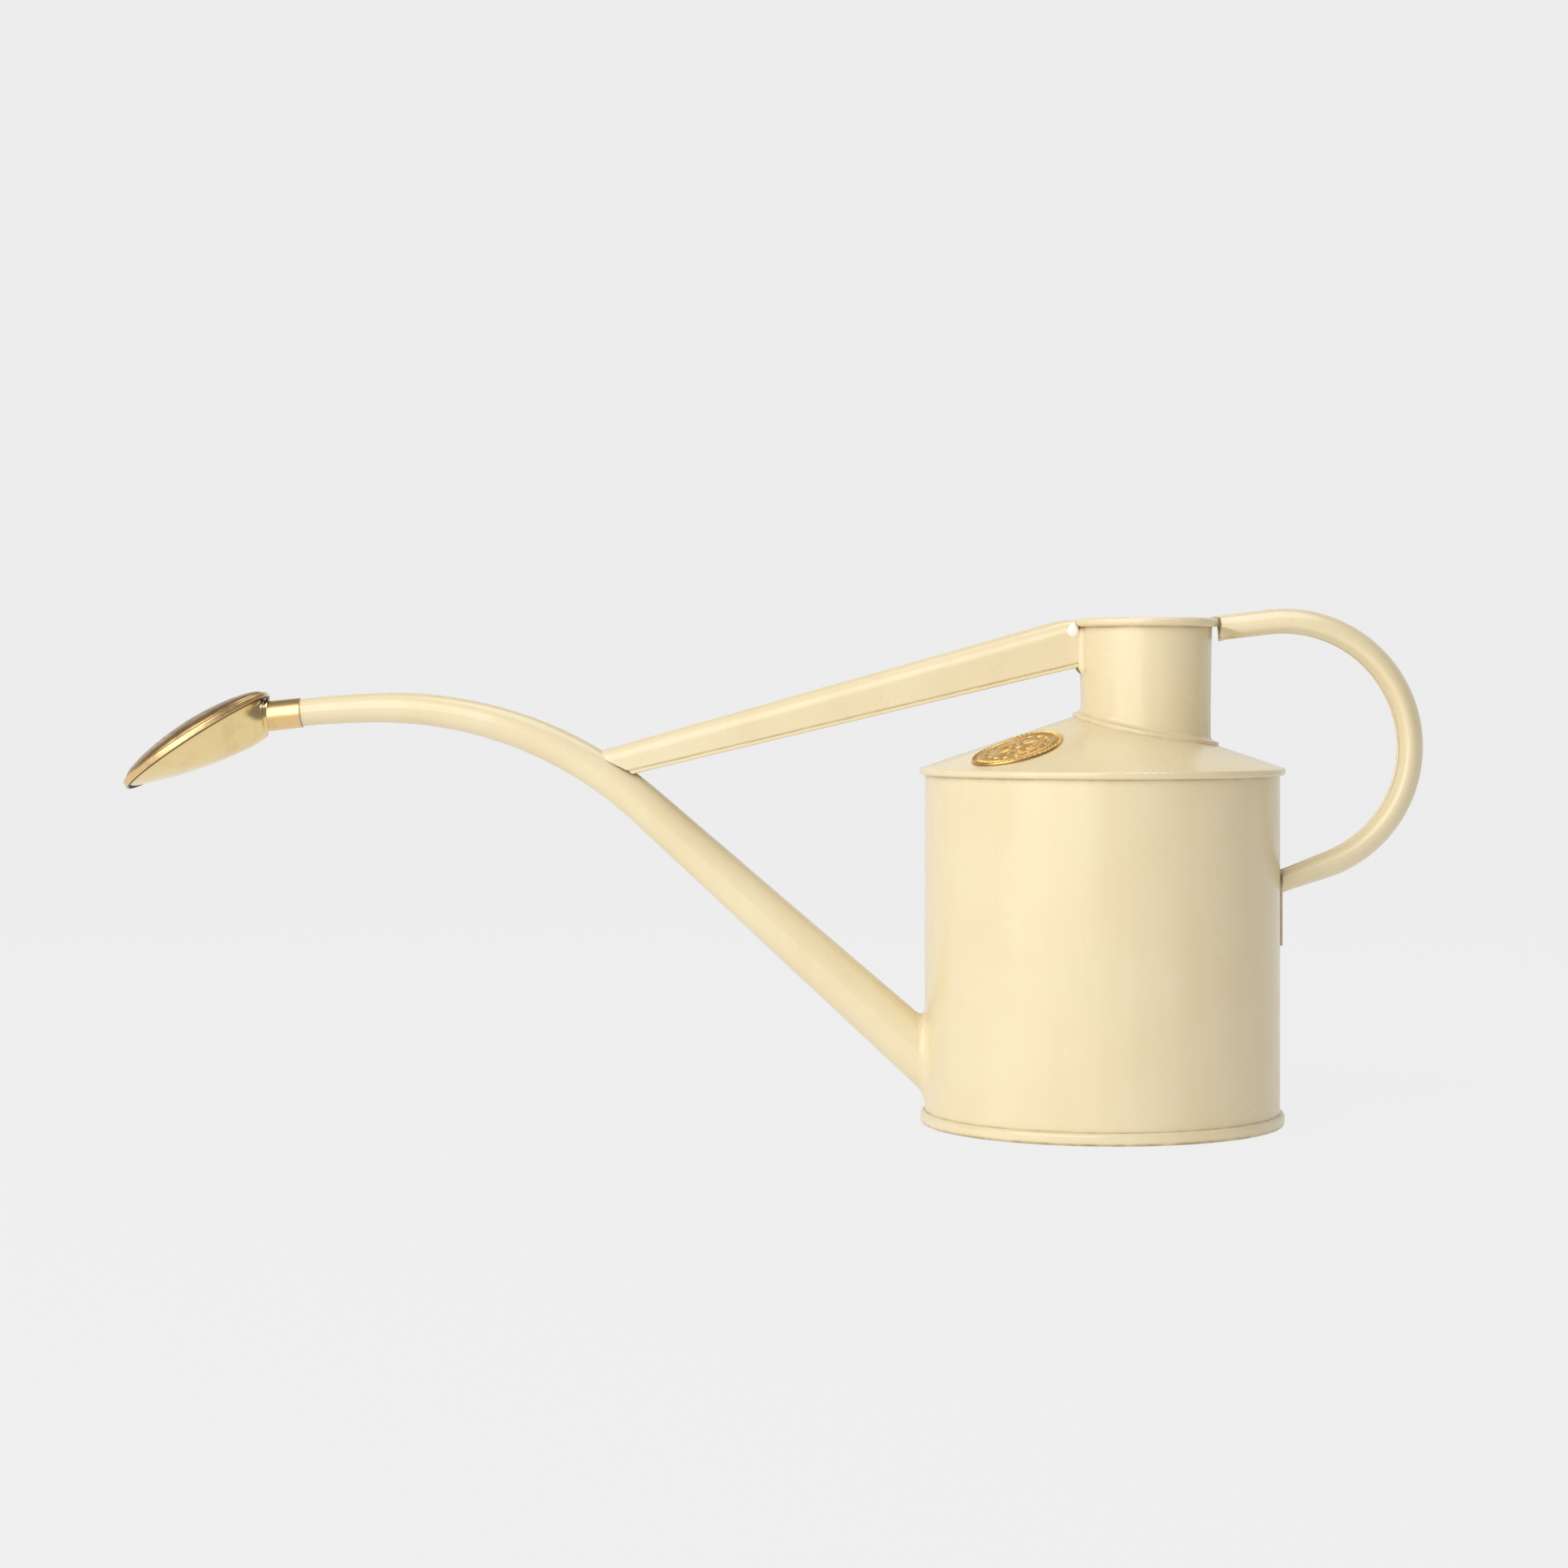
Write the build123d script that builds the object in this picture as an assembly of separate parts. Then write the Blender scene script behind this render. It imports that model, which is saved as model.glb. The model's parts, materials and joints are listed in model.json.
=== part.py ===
from build123d import *
import os
from math import cos, radians, sin, tan

# A one-litre indoor watering can: enamelled sheet-steel can, long swan-neck spout, brass rose.
# Millimetres. The origin is the middle of the base on the floor, +Z is up, -X is the spout's
# side and +X the handle's. The spout, stay, neck and handle all lie in the plane Y = 0.

# ---- driving dimensions ----
SHEET = 0.6                 # enamelled steel sheet
BODY_R = 55.0               # outside of the can
BASE_SEAM_R = 56.4          # rolled seam round the base
BASE_SEAM_TOP = 3.9
BASE_RECESS = 3.0           # the base panel stands this far above the floor
BASE_FOLD = 0.7             # the base's sheet folded under the wall's lower edge
SHOULDER_RIM_R = 56.7       # rolled rim round the shoulder
SHOULDER_RIM_BOTTOM = 108.0
SHOULDER_Z = 110.3          # outside of the cone at SHOULDER_REF_R
SHOULDER_REF_R = 56.0
SHOULDER_SLOPE = 18.5       # degrees
LAP_SEAM_WIDTH = 6.0        # inner lap of the can's upright seam
LAP_SEAM_END = 0.6          # the lap stops this far below the cone and above the base

NECK_X = 13.65              # the neck stands off the can's axis, towards the handle
NECK_TOP_R = 20.55
NECK_FOOT_R = 20.15
NECK_TOP = 156.6            # top of the curled rim
CURL_R = 1.375              # outside of the curl's section
NECK_FLANGE_R = 22.6
NECK_FLANGE_HEIGHT = 1.2
NECK_FOOT_FILLET = 1.6
NECK_STRAIGHT_TOP = 130.0   # the neck widens from here to its curl
CURL_SLIT = 0.3             # gap between the curl's edge and the neck
CURL_SLIT_DEPTH = 1.1

SPOUT_ROOT_Z = 20.6         # the spout's axis crosses the can's wall here
SPOUT_SLOPE = 41.83         # degrees, of the long straight run
SPOUT_RUN = 115.85          # from the can's wall to the first bend
SPOUT_BEND_R = 121.5
SPOUT_BEND_TURN = 43.1      # degrees
SPOUT_EASE_R = 286.0        # the flatter second bend
SPOUT_EASE_TURN = 4.8
SPOUT_TIP_RUN = 10.3        # straight end that the rose pushes on to
SPOUT_ROOT_R = 8.7
SPOUT_BEND_START_R = 6.2
SPOUT_EASE_START_R = 4.6
SPOUT_TIP_R = 4.2
SPOUT_SOLDER_FILLET = 3.0

STAY_LEFT_X = -156.5        # ends buried in the spout's and neck's outlines before trimming
STAY_RIGHT_X = -5.0
STAY_REF_X = -14.5          # its top and bottom edges are given at this place
STAY_REF_TOP = 155.6
STAY_REF_BOTTOM = 139.7
STAY_TOP_RISE = 0.2838      # height gained per millimetre towards the neck
STAY_BOTTOM_RISE = 0.2397
STAY_LEFT_WIDTH = 9.0
STAY_RIGHT_WIDTH = 11.0
STAY_SLOT = 4.4             # gap between the turned-in lower edges
STAY_LOWER_ROUND = 2.2
STAY_SOLDER = 1.3           # reach of the solder along the neck and the stay

HANDLE_CENTRE = (56.9, 116.7)
HANDLE_R = 38.95
HANDLE_TOP_ANGLE = 96.7     # degrees, where the bend begins
HANDLE_LOW_ANGLE = -70.0    # where it ends
HANDLE_FOOT_RUN = 17.0
HANDLE_WIDTH = 13.0
HANDLE_DEPTH = 8.0
HANDLE_FOOT_DEPTH = 6.9
HANDLE_WALL = 0.8
HANDLE_SLOT = 4.5           # gap between the turned-in edges on the inner side
HANDLE_END_GAP = 0.2        # between the channel's cut end and the neck's curl
HANDLE_UPPER_RUN = 18.0
TONGUE_WIDTH = 5.5
TONGUE_LENGTH = 9.0
TONGUE_START = 0.5          # from the start of the upper run
FOOT_STRAP_WIDTH = 10.0
FOOT_STRAP_LOW = 55.2
FOOT_STRAP_HIGH = 78.0

BADGE_LENGTH = 31.0         # up the slope
BADGE_WIDTH = 27.0          # round the can
BADGE_RADIUS = 38.0         # its middle, from the can's axis
BADGE_AZIMUTH = 223.0       # degrees from +X
BADGE_THICKNESS = 0.7
BADGE_BORDER = 1.6
BADGE_BORDER_RISE = 0.4

ROSE_ROLL = 4.0             # degrees that the rose is turned about the spout's tip
SOCKET_CLEARANCE = 0.05     # between the spout's tip and the rose's socket
SOCKET_WALL = 0.45
SOCKET_LENGTH = 10.9
SOCKET_INSIDE = 2.4         # length of the socket inside the rose
BACK_R = 6.1                # disc that closes the rose's back
BACK_DROP = 0.8             # its middle lies this far below the spout's tip axis
BACK_SEAM = 0.3             # the disc stands this far proud of the shell
BRASS = 0.5                 # brass sheet of the rose
RIM_REAR = (-258.6, 132.9)  # rear and front ends of the rose's oval, in the plane Y = 0
RIM_FRONT = (-303.3, 104.5)
RIM_HALF_WIDTH = 17.5
RIM_BAND_HEIGHT = 2.2
RIM_BAND_WALL = 0.8
SHELL_EDGE = -0.2           # the shell's edge, above the middle of the rim's band
FACE_EDGE = 0.5             # the perforated face's edge, above the middle of the rim's band
DOME_RISE = 5.8             # crown of the perforated face above its edge
HOLE_R = 0.5
HOLE_RINGS = 6
HOLE_SPACING = 3.1
WASHER_R = 4.05
WASHER_BORE_R = 3.2
WASHER_THICKNESS = 0.9
WASHER_GAP = 0.05

REACH = 60.0                # cutting and trimming tools run this far past the sheet they shape

# ---- helpers ----


def lathe(corners, axis_x=0.0):
    """Revolve an outline about the upright line at axis_x; corners are (radius, height, rounding)."""
    points = [(radius, height) for radius, height, _ in corners]
    rounding = [corner[2] for corner in corners]
    outline = Plane.XZ * make_face(FilletPolyline(*points, radius=rounding, close=True))
    return Pos(axis_x, 0, 0) * revolve(outline, Axis.Z)


def post(radius, low, high, axis_x=0.0):
    """An upright cylinder between two heights."""
    return Pos(axis_x, 0, (low + high) / 2) * Cylinder(radius, high - low)


def slab(low, high):
    """A box between two corners."""
    middle = [(a + b) / 2 for a, b in zip(low, high)]
    size = [b - a for a, b in zip(low, high)]
    return Pos(*middle) * Box(*size)


def heading(angle):
    """Unit direction in the plane Y = 0, in degrees from +X towards +Z."""
    return Vector(cos(radians(angle)), 0, sin(radians(angle)))


def advance(start, angle, radius, turn):
    """Follow an arc that turns left by turn degrees: its edge, end point and new direction."""
    side = 1 if turn > 0 else -1
    centre = start + heading(angle + 90) * radius * side
    middle = centre - heading(angle + turn / 2 + 90) * radius * side
    end = centre - heading(angle + turn + 90) * radius * side
    return ThreePointArc(start, middle, end), end, angle + turn


def across(point, angle):
    """A plane square to a direction in Y = 0; its own y axis points to the right of that direction."""
    return Plane(origin=point, x_dir=(0, -1, 0), z_dir=heading(angle))


def rolled_section(width, depth, wall, slot, outer_round, slot_round):
    """A sheet rolled to a hollow with a slot on its +y side; its middle is the origin."""
    half, deep = width / 2, depth / 2
    outer = FilletPolyline(
        (-half, -deep), (half, -deep), (half, deep), (-half, deep),
        radius=[outer_round, outer_round, slot_round, slot_round], close=True,
    )
    inner = FilletPolyline(
        (wall - half, wall - deep), (half - wall, wall - deep),
        (half - wall, deep - wall), (wall - half, deep - wall),
        radius=[outer_round - wall, outer_round - wall, slot_round - wall, slot_round - wall],
        close=True,
    )
    opening = Pos(0, deep) * Rectangle(slot, 3 * wall)
    return make_face(outer) - make_face(inner) - opening


def save(node, shape):
    """Write one sub-part as a STEP file named after its node."""
    solids = shape.solids()
    export_step(solids[0] if len(solids) == 1 else Compound(children=list(solids)), f"parts/{node}.step")


# ---- the can ----


def shoulder_height(radius):
    """Height of the cone's outside at a distance from the can's axis."""
    return SHOULDER_Z + (SHOULDER_REF_R - radius) * tan(radians(SHOULDER_SLOPE))


def shoulder_layer(low, high, outer_radius):
    """The space between two heights above the cone's outside, out to a radius."""
    return lathe([
        (0, shoulder_height(0) + low, 0),
        (outer_radius, shoulder_height(outer_radius) + low, 0),
        (outer_radius, shoulder_height(outer_radius) + high, 0),
        (0, shoulder_height(0) + high, 0),
    ])


CONE_DROP = SHEET / cos(radians(SHOULDER_SLOPE))  # upright thickness of the sloping sheet
SHELL_TOP = shoulder_height(BODY_R) - CONE_DROP
NECK_HOLE_R = NECK_FOOT_R - SHEET


def base_disc():
    """The recessed base panel, its edge folded under the can's wall and up outside it."""
    return lathe([
        (0, BASE_RECESS, 0),
        (BODY_R - 2 * SHEET, BASE_RECESS, 0.6),
        (BODY_R - 2 * SHEET, 0, 0.5),
        (BASE_SEAM_R, 0, 1.1),
        (BASE_SEAM_R, BASE_SEAM_TOP, 1.2),
        (BODY_R, BASE_SEAM_TOP, 0),
        (BODY_R, BASE_FOLD, 0),
        (BODY_R - SHEET, BASE_FOLD, 0),
        (BODY_R - SHEET, BASE_RECESS + SHEET, 0),
        (0, BASE_RECESS + SHEET, 0),
    ])


def body_shell(spout_outline):
    """The can's wall, with its upright lap seam inside behind the handle and the spout's hole."""
    inner_r = BODY_R - SHEET
    half_seam = LAP_SEAM_WIDTH / 2
    wall = post(BODY_R, BASE_FOLD, SHELL_TOP) - post(inner_r, -REACH, SHELL_TOP + REACH)
    lap = post(inner_r, BASE_RECESS + SHEET + LAP_SEAM_END, SHELL_TOP - LAP_SEAM_END)
    lap = lap - post(inner_r - SHEET, -REACH, SHELL_TOP + REACH)
    lap = lap & slab((0, -half_seam, 0), (BODY_R, half_seam, SHELL_TOP))
    return wall + lap - spout_outline


def shoulder_cone():
    """The cone that closes the can, its rim rolled down over the wall's top edge."""
    cone = lathe([
        (0, shoulder_height(0), 0),
        (SHOULDER_RIM_R, shoulder_height(SHOULDER_RIM_R), 1.0),
        (SHOULDER_RIM_R, SHOULDER_RIM_BOTTOM, 1.0),
        (BODY_R, SHOULDER_RIM_BOTTOM, 0),
        (BODY_R, SHELL_TOP, 0),
        (0, shoulder_height(0) - CONE_DROP, 0),
    ])
    return cone - post(NECK_HOLE_R, SHOULDER_RIM_BOTTOM, NECK_TOP, NECK_X)


# ---- the neck ----

CURL_Z = NECK_TOP - CURL_R
CURL_CENTRE_R = NECK_TOP_R - SHEET + CURL_R
WIRE_R = CURL_R - SHEET


def curl_ring(radius):
    """A ring along the middle of the neck's curl."""
    return Pos(NECK_X, 0, CURL_Z) * Torus(CURL_CENTRE_R, radius)


def neck_outline():
    """The neck's outside as one solid, down to below the cone."""
    column = lathe([
        (0, SHOULDER_RIM_BOTTOM, 0),
        (NECK_FOOT_R, SHOULDER_RIM_BOTTOM, 0),
        (NECK_FOOT_R, NECK_STRAIGHT_TOP, 0),
        (NECK_TOP_R, CURL_Z - CURL_R, 0),
        (NECK_TOP_R, CURL_Z, 0),
        (0, CURL_Z, 0),
    ], NECK_X)
    return column + curl_ring(CURL_R)


def neck_tube():
    """The filler neck: a tube with a curled rim and a flange that follows the cone."""
    flange = shoulder_layer(-REACH, NECK_FLANGE_HEIGHT, BODY_R)
    flange = flange & post(NECK_FLANGE_R, SHOULDER_RIM_BOTTOM, NECK_STRAIGHT_TOP, NECK_X)
    foot = flange + post(NECK_FOOT_R, SHOULDER_RIM_BOTTOM, NECK_STRAIGHT_TOP, NECK_X)
    foot = foot - shoulder_layer(-REACH, 0, BODY_R)
    foot = fillet(joint_edges(foot, NECK_FOOT_R, NECK_STRAIGHT_TOP - 1), NECK_FOOT_FILLET)
    foot = foot - post(NECK_HOLE_R, SHOULDER_RIM_BOTTOM - 1, NECK_STRAIGHT_TOP + 1, NECK_X)
    tube = lathe([
        (NECK_HOLE_R, NECK_STRAIGHT_TOP, 0),
        (NECK_FOOT_R, NECK_STRAIGHT_TOP, 0),
        (NECK_TOP_R, CURL_Z - CURL_R, 0),
        (NECK_TOP_R, CURL_Z, 0),
        (NECK_TOP_R - SHEET, CURL_Z, 0),
        (NECK_TOP_R - SHEET, CURL_Z - CURL_R, 0),
    ], NECK_X)
    curl_bottom = CURL_Z - CURL_R
    slit = lathe([
        (NECK_TOP_R, curl_bottom - CURL_SLIT, 0),
        (NECK_TOP_R + CURL_SLIT, curl_bottom - CURL_SLIT, 0),
        (NECK_TOP_R + CURL_SLIT, curl_bottom + CURL_SLIT_DEPTH, 0),
        (NECK_TOP_R, curl_bottom + CURL_SLIT_DEPTH, 0),
    ], NECK_X)
    return foot + tube + curl_ring(CURL_R) - curl_ring(WIRE_R) - slit


def joint_edges(shape, radius, top):
    """Edges below a height that lie on the upright cylinder of a radius about the neck's axis."""
    def off_axis(point):
        return Vector(point.X - NECK_X, point.Y, 0).length
    return [
        edge for edge in shape.edges()
        if edge.bounding_box().max.Z < top
        and all(abs(off_axis(edge @ place) - radius) < 0.05 for place in (0, 0.3, 0.6, 1))
    ]


def neck_rim_wire():
    """The wire that the neck's rim is curled round."""
    return curl_ring(WIRE_R)


# ---- the spout ----


def spout_stations():
    """The spout's stretches from the can to the tip: path edge, directions and radii at its ends."""
    inside = 12.0
    flare = (SPOUT_ROOT_R - SPOUT_BEND_START_R) / SPOUT_RUN
    angle = 180 - SPOUT_SLOPE
    wall_point = Vector(-BODY_R, 0, SPOUT_ROOT_Z)
    start = wall_point - heading(angle) * inside
    bend_start = wall_point + heading(angle) * SPOUT_RUN
    stretches = [(
        Line(start, bend_start), angle, angle,
        SPOUT_ROOT_R + flare * inside, SPOUT_BEND_START_R,
    )]
    edge, point, turned = advance(bend_start, angle, SPOUT_BEND_R, SPOUT_BEND_TURN)
    stretches.append((edge, angle, turned, SPOUT_BEND_START_R, SPOUT_EASE_START_R))
    ease, tip_start, tip_angle = advance(point, turned, SPOUT_EASE_R, SPOUT_EASE_TURN)
    stretches.append((ease, turned, tip_angle, SPOUT_EASE_START_R, SPOUT_TIP_R))
    tip = tip_start + heading(tip_angle) * SPOUT_TIP_RUN
    stretches.append((Line(tip_start, tip), tip_angle, tip_angle, SPOUT_TIP_R, SPOUT_TIP_R))
    return stretches


def spout_pieces(inset):
    """Solid stretches of the spout, drawn in by inset."""
    pieces = []
    for edge, start_angle, end_angle, start_r, end_r in spout_stations():
        start = across(edge @ 0, start_angle) * Circle(start_r - inset)
        end = across(edge @ 1, end_angle) * Circle(end_r - inset)
        pieces.append(sweep([start, end], path=edge, multisection=True))
    return pieces


def spout_outline():
    """The spout's outside as one solid."""
    outer = spout_pieces(0)
    return outer[0] + outer[1:]


def spout_tube():
    """The tapered swan-neck tube, trimmed flush with the inside of the can's wall."""
    rings = [outer - inner for outer, inner in zip(spout_pieces(0), spout_pieces(SHEET))]
    return rings[0] + rings[1:] - post(BODY_R - SHEET, -REACH, SHELL_TOP)


def spout_root_solder(outline):
    """The concave fillet of solder where the spout enters the can."""
    can_top = SPOUT_ROOT_Z + REACH
    joined = post(BODY_R, BASE_SEAM_TOP, can_top) + outline

    def on_wall(point):
        return abs(Vector(point.X, point.Y, 0).length - BODY_R) < SHEET / 10

    root = [
        edge for edge in joined.edges()
        if on_wall(edge @ 0.37)
        and edge.bounding_box().min.Z > BASE_SEAM_TOP
        and edge.bounding_box().max.Z < can_top - 1
    ]
    return fillet(root, SPOUT_SOLDER_FILLET) - joined


# ---- the stay ----


def stay_sections(face_at):
    """Loft between the stay's left and right ends; face_at draws each end from its width and depth."""
    ends = []
    for x, width in ((STAY_LEFT_X, STAY_LEFT_WIDTH), (STAY_RIGHT_X, STAY_RIGHT_WIDTH)):
        top = STAY_REF_TOP + STAY_TOP_RISE * (x - STAY_REF_X)
        bottom = STAY_REF_BOTTOM + STAY_BOTTOM_RISE * (x - STAY_REF_X)
        middle = Vector(x, 0, (top + bottom) / 2)
        ends.append(across(middle, 0) * face_at(width, top - bottom))
    return loft(ends, ruled=True)


def stay_outline(grown=0.0):
    """The stay's outside as one solid, grown outwards if need be."""
    def section(width, depth):
        half, deep = width / 2 + grown, depth / 2 + grown
        rounding = [half - 0.05, half - 0.05, STAY_LOWER_ROUND + grown, STAY_LOWER_ROUND + grown]
        corners = [(-half, -deep), (half, -deep), (half, deep), (-half, deep)]
        return make_face(FilletPolyline(*corners, radius=rounding, close=True))
    return stay_sections(section)


def stay_brace(spout, neck):
    """The rolled channel that ties the spout to the neck, open below, cut to fit both."""
    def section(width, depth):
        return rolled_section(width, depth, SHEET, STAY_SLOT, width / 2 - 0.05, STAY_LOWER_ROUND)
    rim_clear = post(CURL_CENTRE_R + CURL_R, CURL_Z, CURL_Z + REACH, NECK_X)
    return stay_sections(section) - spout - neck - rim_clear


def stay_neck_solder(neck):
    """The line of solder round the stay where it meets the neck, below the curled rim."""
    band = post(NECK_TOP_R + STAY_SOLDER, NECK_STRAIGHT_TOP, CURL_Z, NECK_X)
    band = band & stay_outline(STAY_SOLDER)
    return band - stay_outline() - neck


# ---- the handle ----


def handle_path():
    """The handle's middle line: the upper run, the bend and the foot, with their directions."""
    centre = Vector(HANDLE_CENTRE[0], 0, HANDLE_CENTRE[1])
    first = centre + heading(HANDLE_TOP_ANGLE) * HANDLE_R
    middle = centre + heading((HANDLE_TOP_ANGLE + HANDLE_LOW_ANGLE) / 2) * HANDLE_R
    last = centre + heading(HANDLE_LOW_ANGLE) * HANDLE_R
    start = first - heading(HANDLE_TOP_ANGLE - 90) * HANDLE_UPPER_RUN
    foot = last + heading(HANDLE_LOW_ANGLE - 90) * HANDLE_FOOT_RUN
    return Line(start, first), ThreePointArc(first, middle, last), Line(last, foot)


def handle_section(depth):
    """The handle's oval rolled section, its edges turned in on the inside of the loop."""
    outer = Ellipse(HANDLE_WIDTH / 2, depth / 2)
    inner = Ellipse(HANDLE_WIDTH / 2 - HANDLE_WALL, depth / 2 - HANDLE_WALL)
    return outer - inner - Pos(0, depth / 2) * Rectangle(HANDLE_SLOT, 3 * HANDLE_WALL)


def handle(neck):
    """The looped handle, tongue over the neck's rim at the top, tapered foot against the can."""
    upper, bend, foot = handle_path()
    upper_angle = HANDLE_TOP_ANGLE - 90
    foot_angle = HANDLE_LOW_ANGLE - 90
    grip = sweep(across(upper @ 0, upper_angle) * handle_section(HANDLE_DEPTH), path=upper + bend)
    end = loft([
        across(foot @ 0, foot_angle) * handle_section(HANDLE_DEPTH),
        across(foot @ 1, foot_angle) * handle_section(HANDLE_FOOT_DEPTH),
    ], ruled=True)
    cut_x = NECK_X + CURL_CENTRE_R + CURL_R + HANDLE_END_GAP
    channel = grip + end - slab((0, -REACH, SHOULDER_RIM_BOTTOM), (cut_x, REACH, NECK_TOP + REACH))
    channel = channel - post(BODY_R + HANDLE_WALL, 0, SHOULDER_RIM_BOTTOM)
    top_sheet = upper @ 0 + heading(HANDLE_TOP_ANGLE) * (HANDLE_DEPTH - HANDLE_WALL) / 2
    along = Plane(top_sheet, x_dir=heading(upper_angle), z_dir=heading(HANDLE_TOP_ANGLE))
    tongue = along * Pos(TONGUE_START + TONGUE_LENGTH / 2, 0, 0)
    return channel + tongue * Box(TONGUE_LENGTH, TONGUE_WIDTH, HANDLE_WALL) - neck


def handle_foot_strap():
    """The strap soldered to the can's wall that the handle's foot is fixed to."""
    layer = post(BODY_R + HANDLE_WALL, 0, SHELL_TOP) - post(BODY_R, -1, SHELL_TOP + 1)
    half = FOOT_STRAP_WIDTH / 2
    return layer & slab((0, -half, FOOT_STRAP_LOW), (BODY_R + REACH, half, FOOT_STRAP_HIGH))


# ---- the badge ----


def badge():
    """An oval brass badge with a raised border, bent to the cone."""
    turn = radians(BADGE_AZIMUTH)
    tilt = radians(SHOULDER_SLOPE)
    normal = Vector(sin(tilt) * cos(turn), sin(tilt) * sin(turn), cos(tilt))
    middle = Vector(BADGE_RADIUS * cos(turn), BADGE_RADIUS * sin(turn), shoulder_height(BADGE_RADIUS))
    up_slope = Vector(-cos(tilt) * cos(turn), -cos(tilt) * sin(turn), sin(tilt))
    seat = Plane(middle, x_dir=up_slope, z_dir=normal)
    half_length, half_width = BADGE_LENGTH / 2, BADGE_WIDTH / 2
    oval = Ellipse(half_length, half_width)
    inner_oval = Ellipse(half_length - BADGE_BORDER, half_width - BADGE_BORDER)
    column = seat * extrude(oval, half_width, both=True)
    core = seat * extrude(inner_oval, half_width, both=True)
    plate = shoulder_layer(0, BADGE_THICKNESS, BODY_R) & column
    border = shoulder_layer(0, BADGE_THICKNESS + BADGE_BORDER_RISE, BODY_R) & (column - core)
    return plate + border


# ---- the rose ----


def tip_angle():
    """Direction of the spout's tip in the plane Y = 0, in degrees from +X."""
    return spout_stations()[-1][1]


def tip_frame():
    """A plane on the spout's end face, its z axis pointing out along the spout's tip."""
    return across(spout_stations()[-1][0] @ 1, tip_angle())


def rim_frame():
    """A plane through the rose's oval rim: x towards its rear end, z out of the perforated face."""
    front = Vector(RIM_FRONT[0], 0, RIM_FRONT[1])
    rear = Vector(RIM_REAR[0], 0, RIM_REAR[1])
    along = (rear - front).normalized()
    return Plane((front + rear) / 2, x_dir=along, z_dir=along.cross(Vector(0, 1, 0)))


def rolled(shape):
    """Turn a piece of the rose about the spout's tip to the angle it is pushed on at."""
    tip = tip_frame()
    return shape.rotate(Axis(tip.origin, tip.z_dir), ROSE_ROLL)


RIM_HALF_LENGTH = Vector(RIM_REAR[0] - RIM_FRONT[0], RIM_REAR[1] - RIM_FRONT[1], 0).length / 2
SOCKET_R = SPOUT_TIP_R + SOCKET_CLEARANCE
SOCKET_OUTER_R = SOCKET_R + SOCKET_WALL
BACK_START = SOCKET_LENGTH - SPOUT_TIP_RUN       # the back disc's face, out from the spout's end


def tube_along_tip(outer_r, inner_r, start, end):
    """A ring about the spout's tip between two distances out from its end."""
    place = tip_frame() * Pos(0, 0, (start + end) / 2)
    return place * Cylinder(outer_r, end - start) - place * Cylinder(inner_r, end - start + 1)


def rose_socket():
    """The brass sleeve that pushes over the spout's tip, with a lip for the washer."""
    lip = WASHER_GAP + WASHER_THICKNESS + WASHER_GAP
    sleeve = tube_along_tip(SOCKET_OUTER_R, SOCKET_R, -SPOUT_TIP_RUN, lip)
    stop = tube_along_tip(SOCKET_OUTER_R, WASHER_BORE_R, lip, BACK_START + SOCKET_INSIDE)
    return rolled(sleeve + stop)


def rose_washer():
    """The rubber washer between the spout's end and the socket's lip."""
    return rolled(tube_along_tip(WASHER_R, WASHER_BORE_R, WASHER_GAP, WASHER_GAP + WASHER_THICKNESS))


def rose_back():
    """The disc that closes the rose behind, soldered round the socket."""
    place = tip_frame() * Pos(0, -BACK_DROP, BACK_START + BRASS / 2)
    bore = tip_frame() * Pos(0, 0, BACK_START) * Cylinder(SOCKET_OUTER_R, 4 * BRASS)
    return rolled(place * Cylinder(BACK_R, BRASS) - bore)


def rose_shell():
    """The underside of the rose, from the round back to the oval rim."""
    def skin(inset):
        seat = tip_frame() * Pos(0, -BACK_DROP, BACK_START + BRASS)
        back = seat * Rot(0, 0, 90) * Circle(BACK_R - BACK_SEAM - inset)
        half_length = RIM_HALF_LENGTH - RIM_BAND_WALL - inset
        half_width = RIM_HALF_WIDTH - RIM_BAND_WALL - inset
        rim = rim_frame() * Pos(0, 0, SHELL_EDGE) * Ellipse(half_length, half_width)
        return loft([rim, back], ruled=True)
    return rolled(skin(0) - skin(BRASS))


def rose_rim():
    """The band crimped round the shell and the perforated face."""
    def oval(inset, height):
        outline = Ellipse(RIM_HALF_LENGTH - inset, RIM_HALF_WIDTH - inset)
        return extrude(outline, height / 2, both=True)
    band = oval(0, RIM_BAND_HEIGHT) - oval(RIM_BAND_WALL, 2 * RIM_BAND_HEIGHT)
    return rolled(rim_frame() * band)


def rose_face():
    """The domed oval face with rings of spray holes."""
    base = RIM_HALF_LENGTH - RIM_BAND_WALL
    squeeze = (RIM_HALF_WIDTH - RIM_BAND_WALL) / base
    ball_r = (base**2 + DOME_RISE**2) / (2 * DOME_RISE)
    ball = Pos(0, 0, DOME_RISE - ball_r)
    dome = ball * Sphere(ball_r) - ball * Sphere(ball_r - BRASS)
    dome = dome & slab((-REACH, -REACH, 0), (REACH, REACH, 2 * DOME_RISE))
    dome = scale(dome, by=(1, squeeze, 1))
    holes = [Cylinder(HOLE_R, 4 * DOME_RISE)]
    for ring in range(1, HOLE_RINGS + 1):
        for step in range(6 * ring):
            turn = 360 * step / (6 * ring)
            x = ring * HOLE_SPACING * cos(radians(turn))
            y = ring * HOLE_SPACING * sin(radians(turn)) * squeeze
            holes.append(Pos(x, y, 0) * Cylinder(HOLE_R, 4 * DOME_RISE))
    return rolled(rim_frame() * Pos(0, 0, FACE_EDGE) * (dome - holes))


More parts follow.
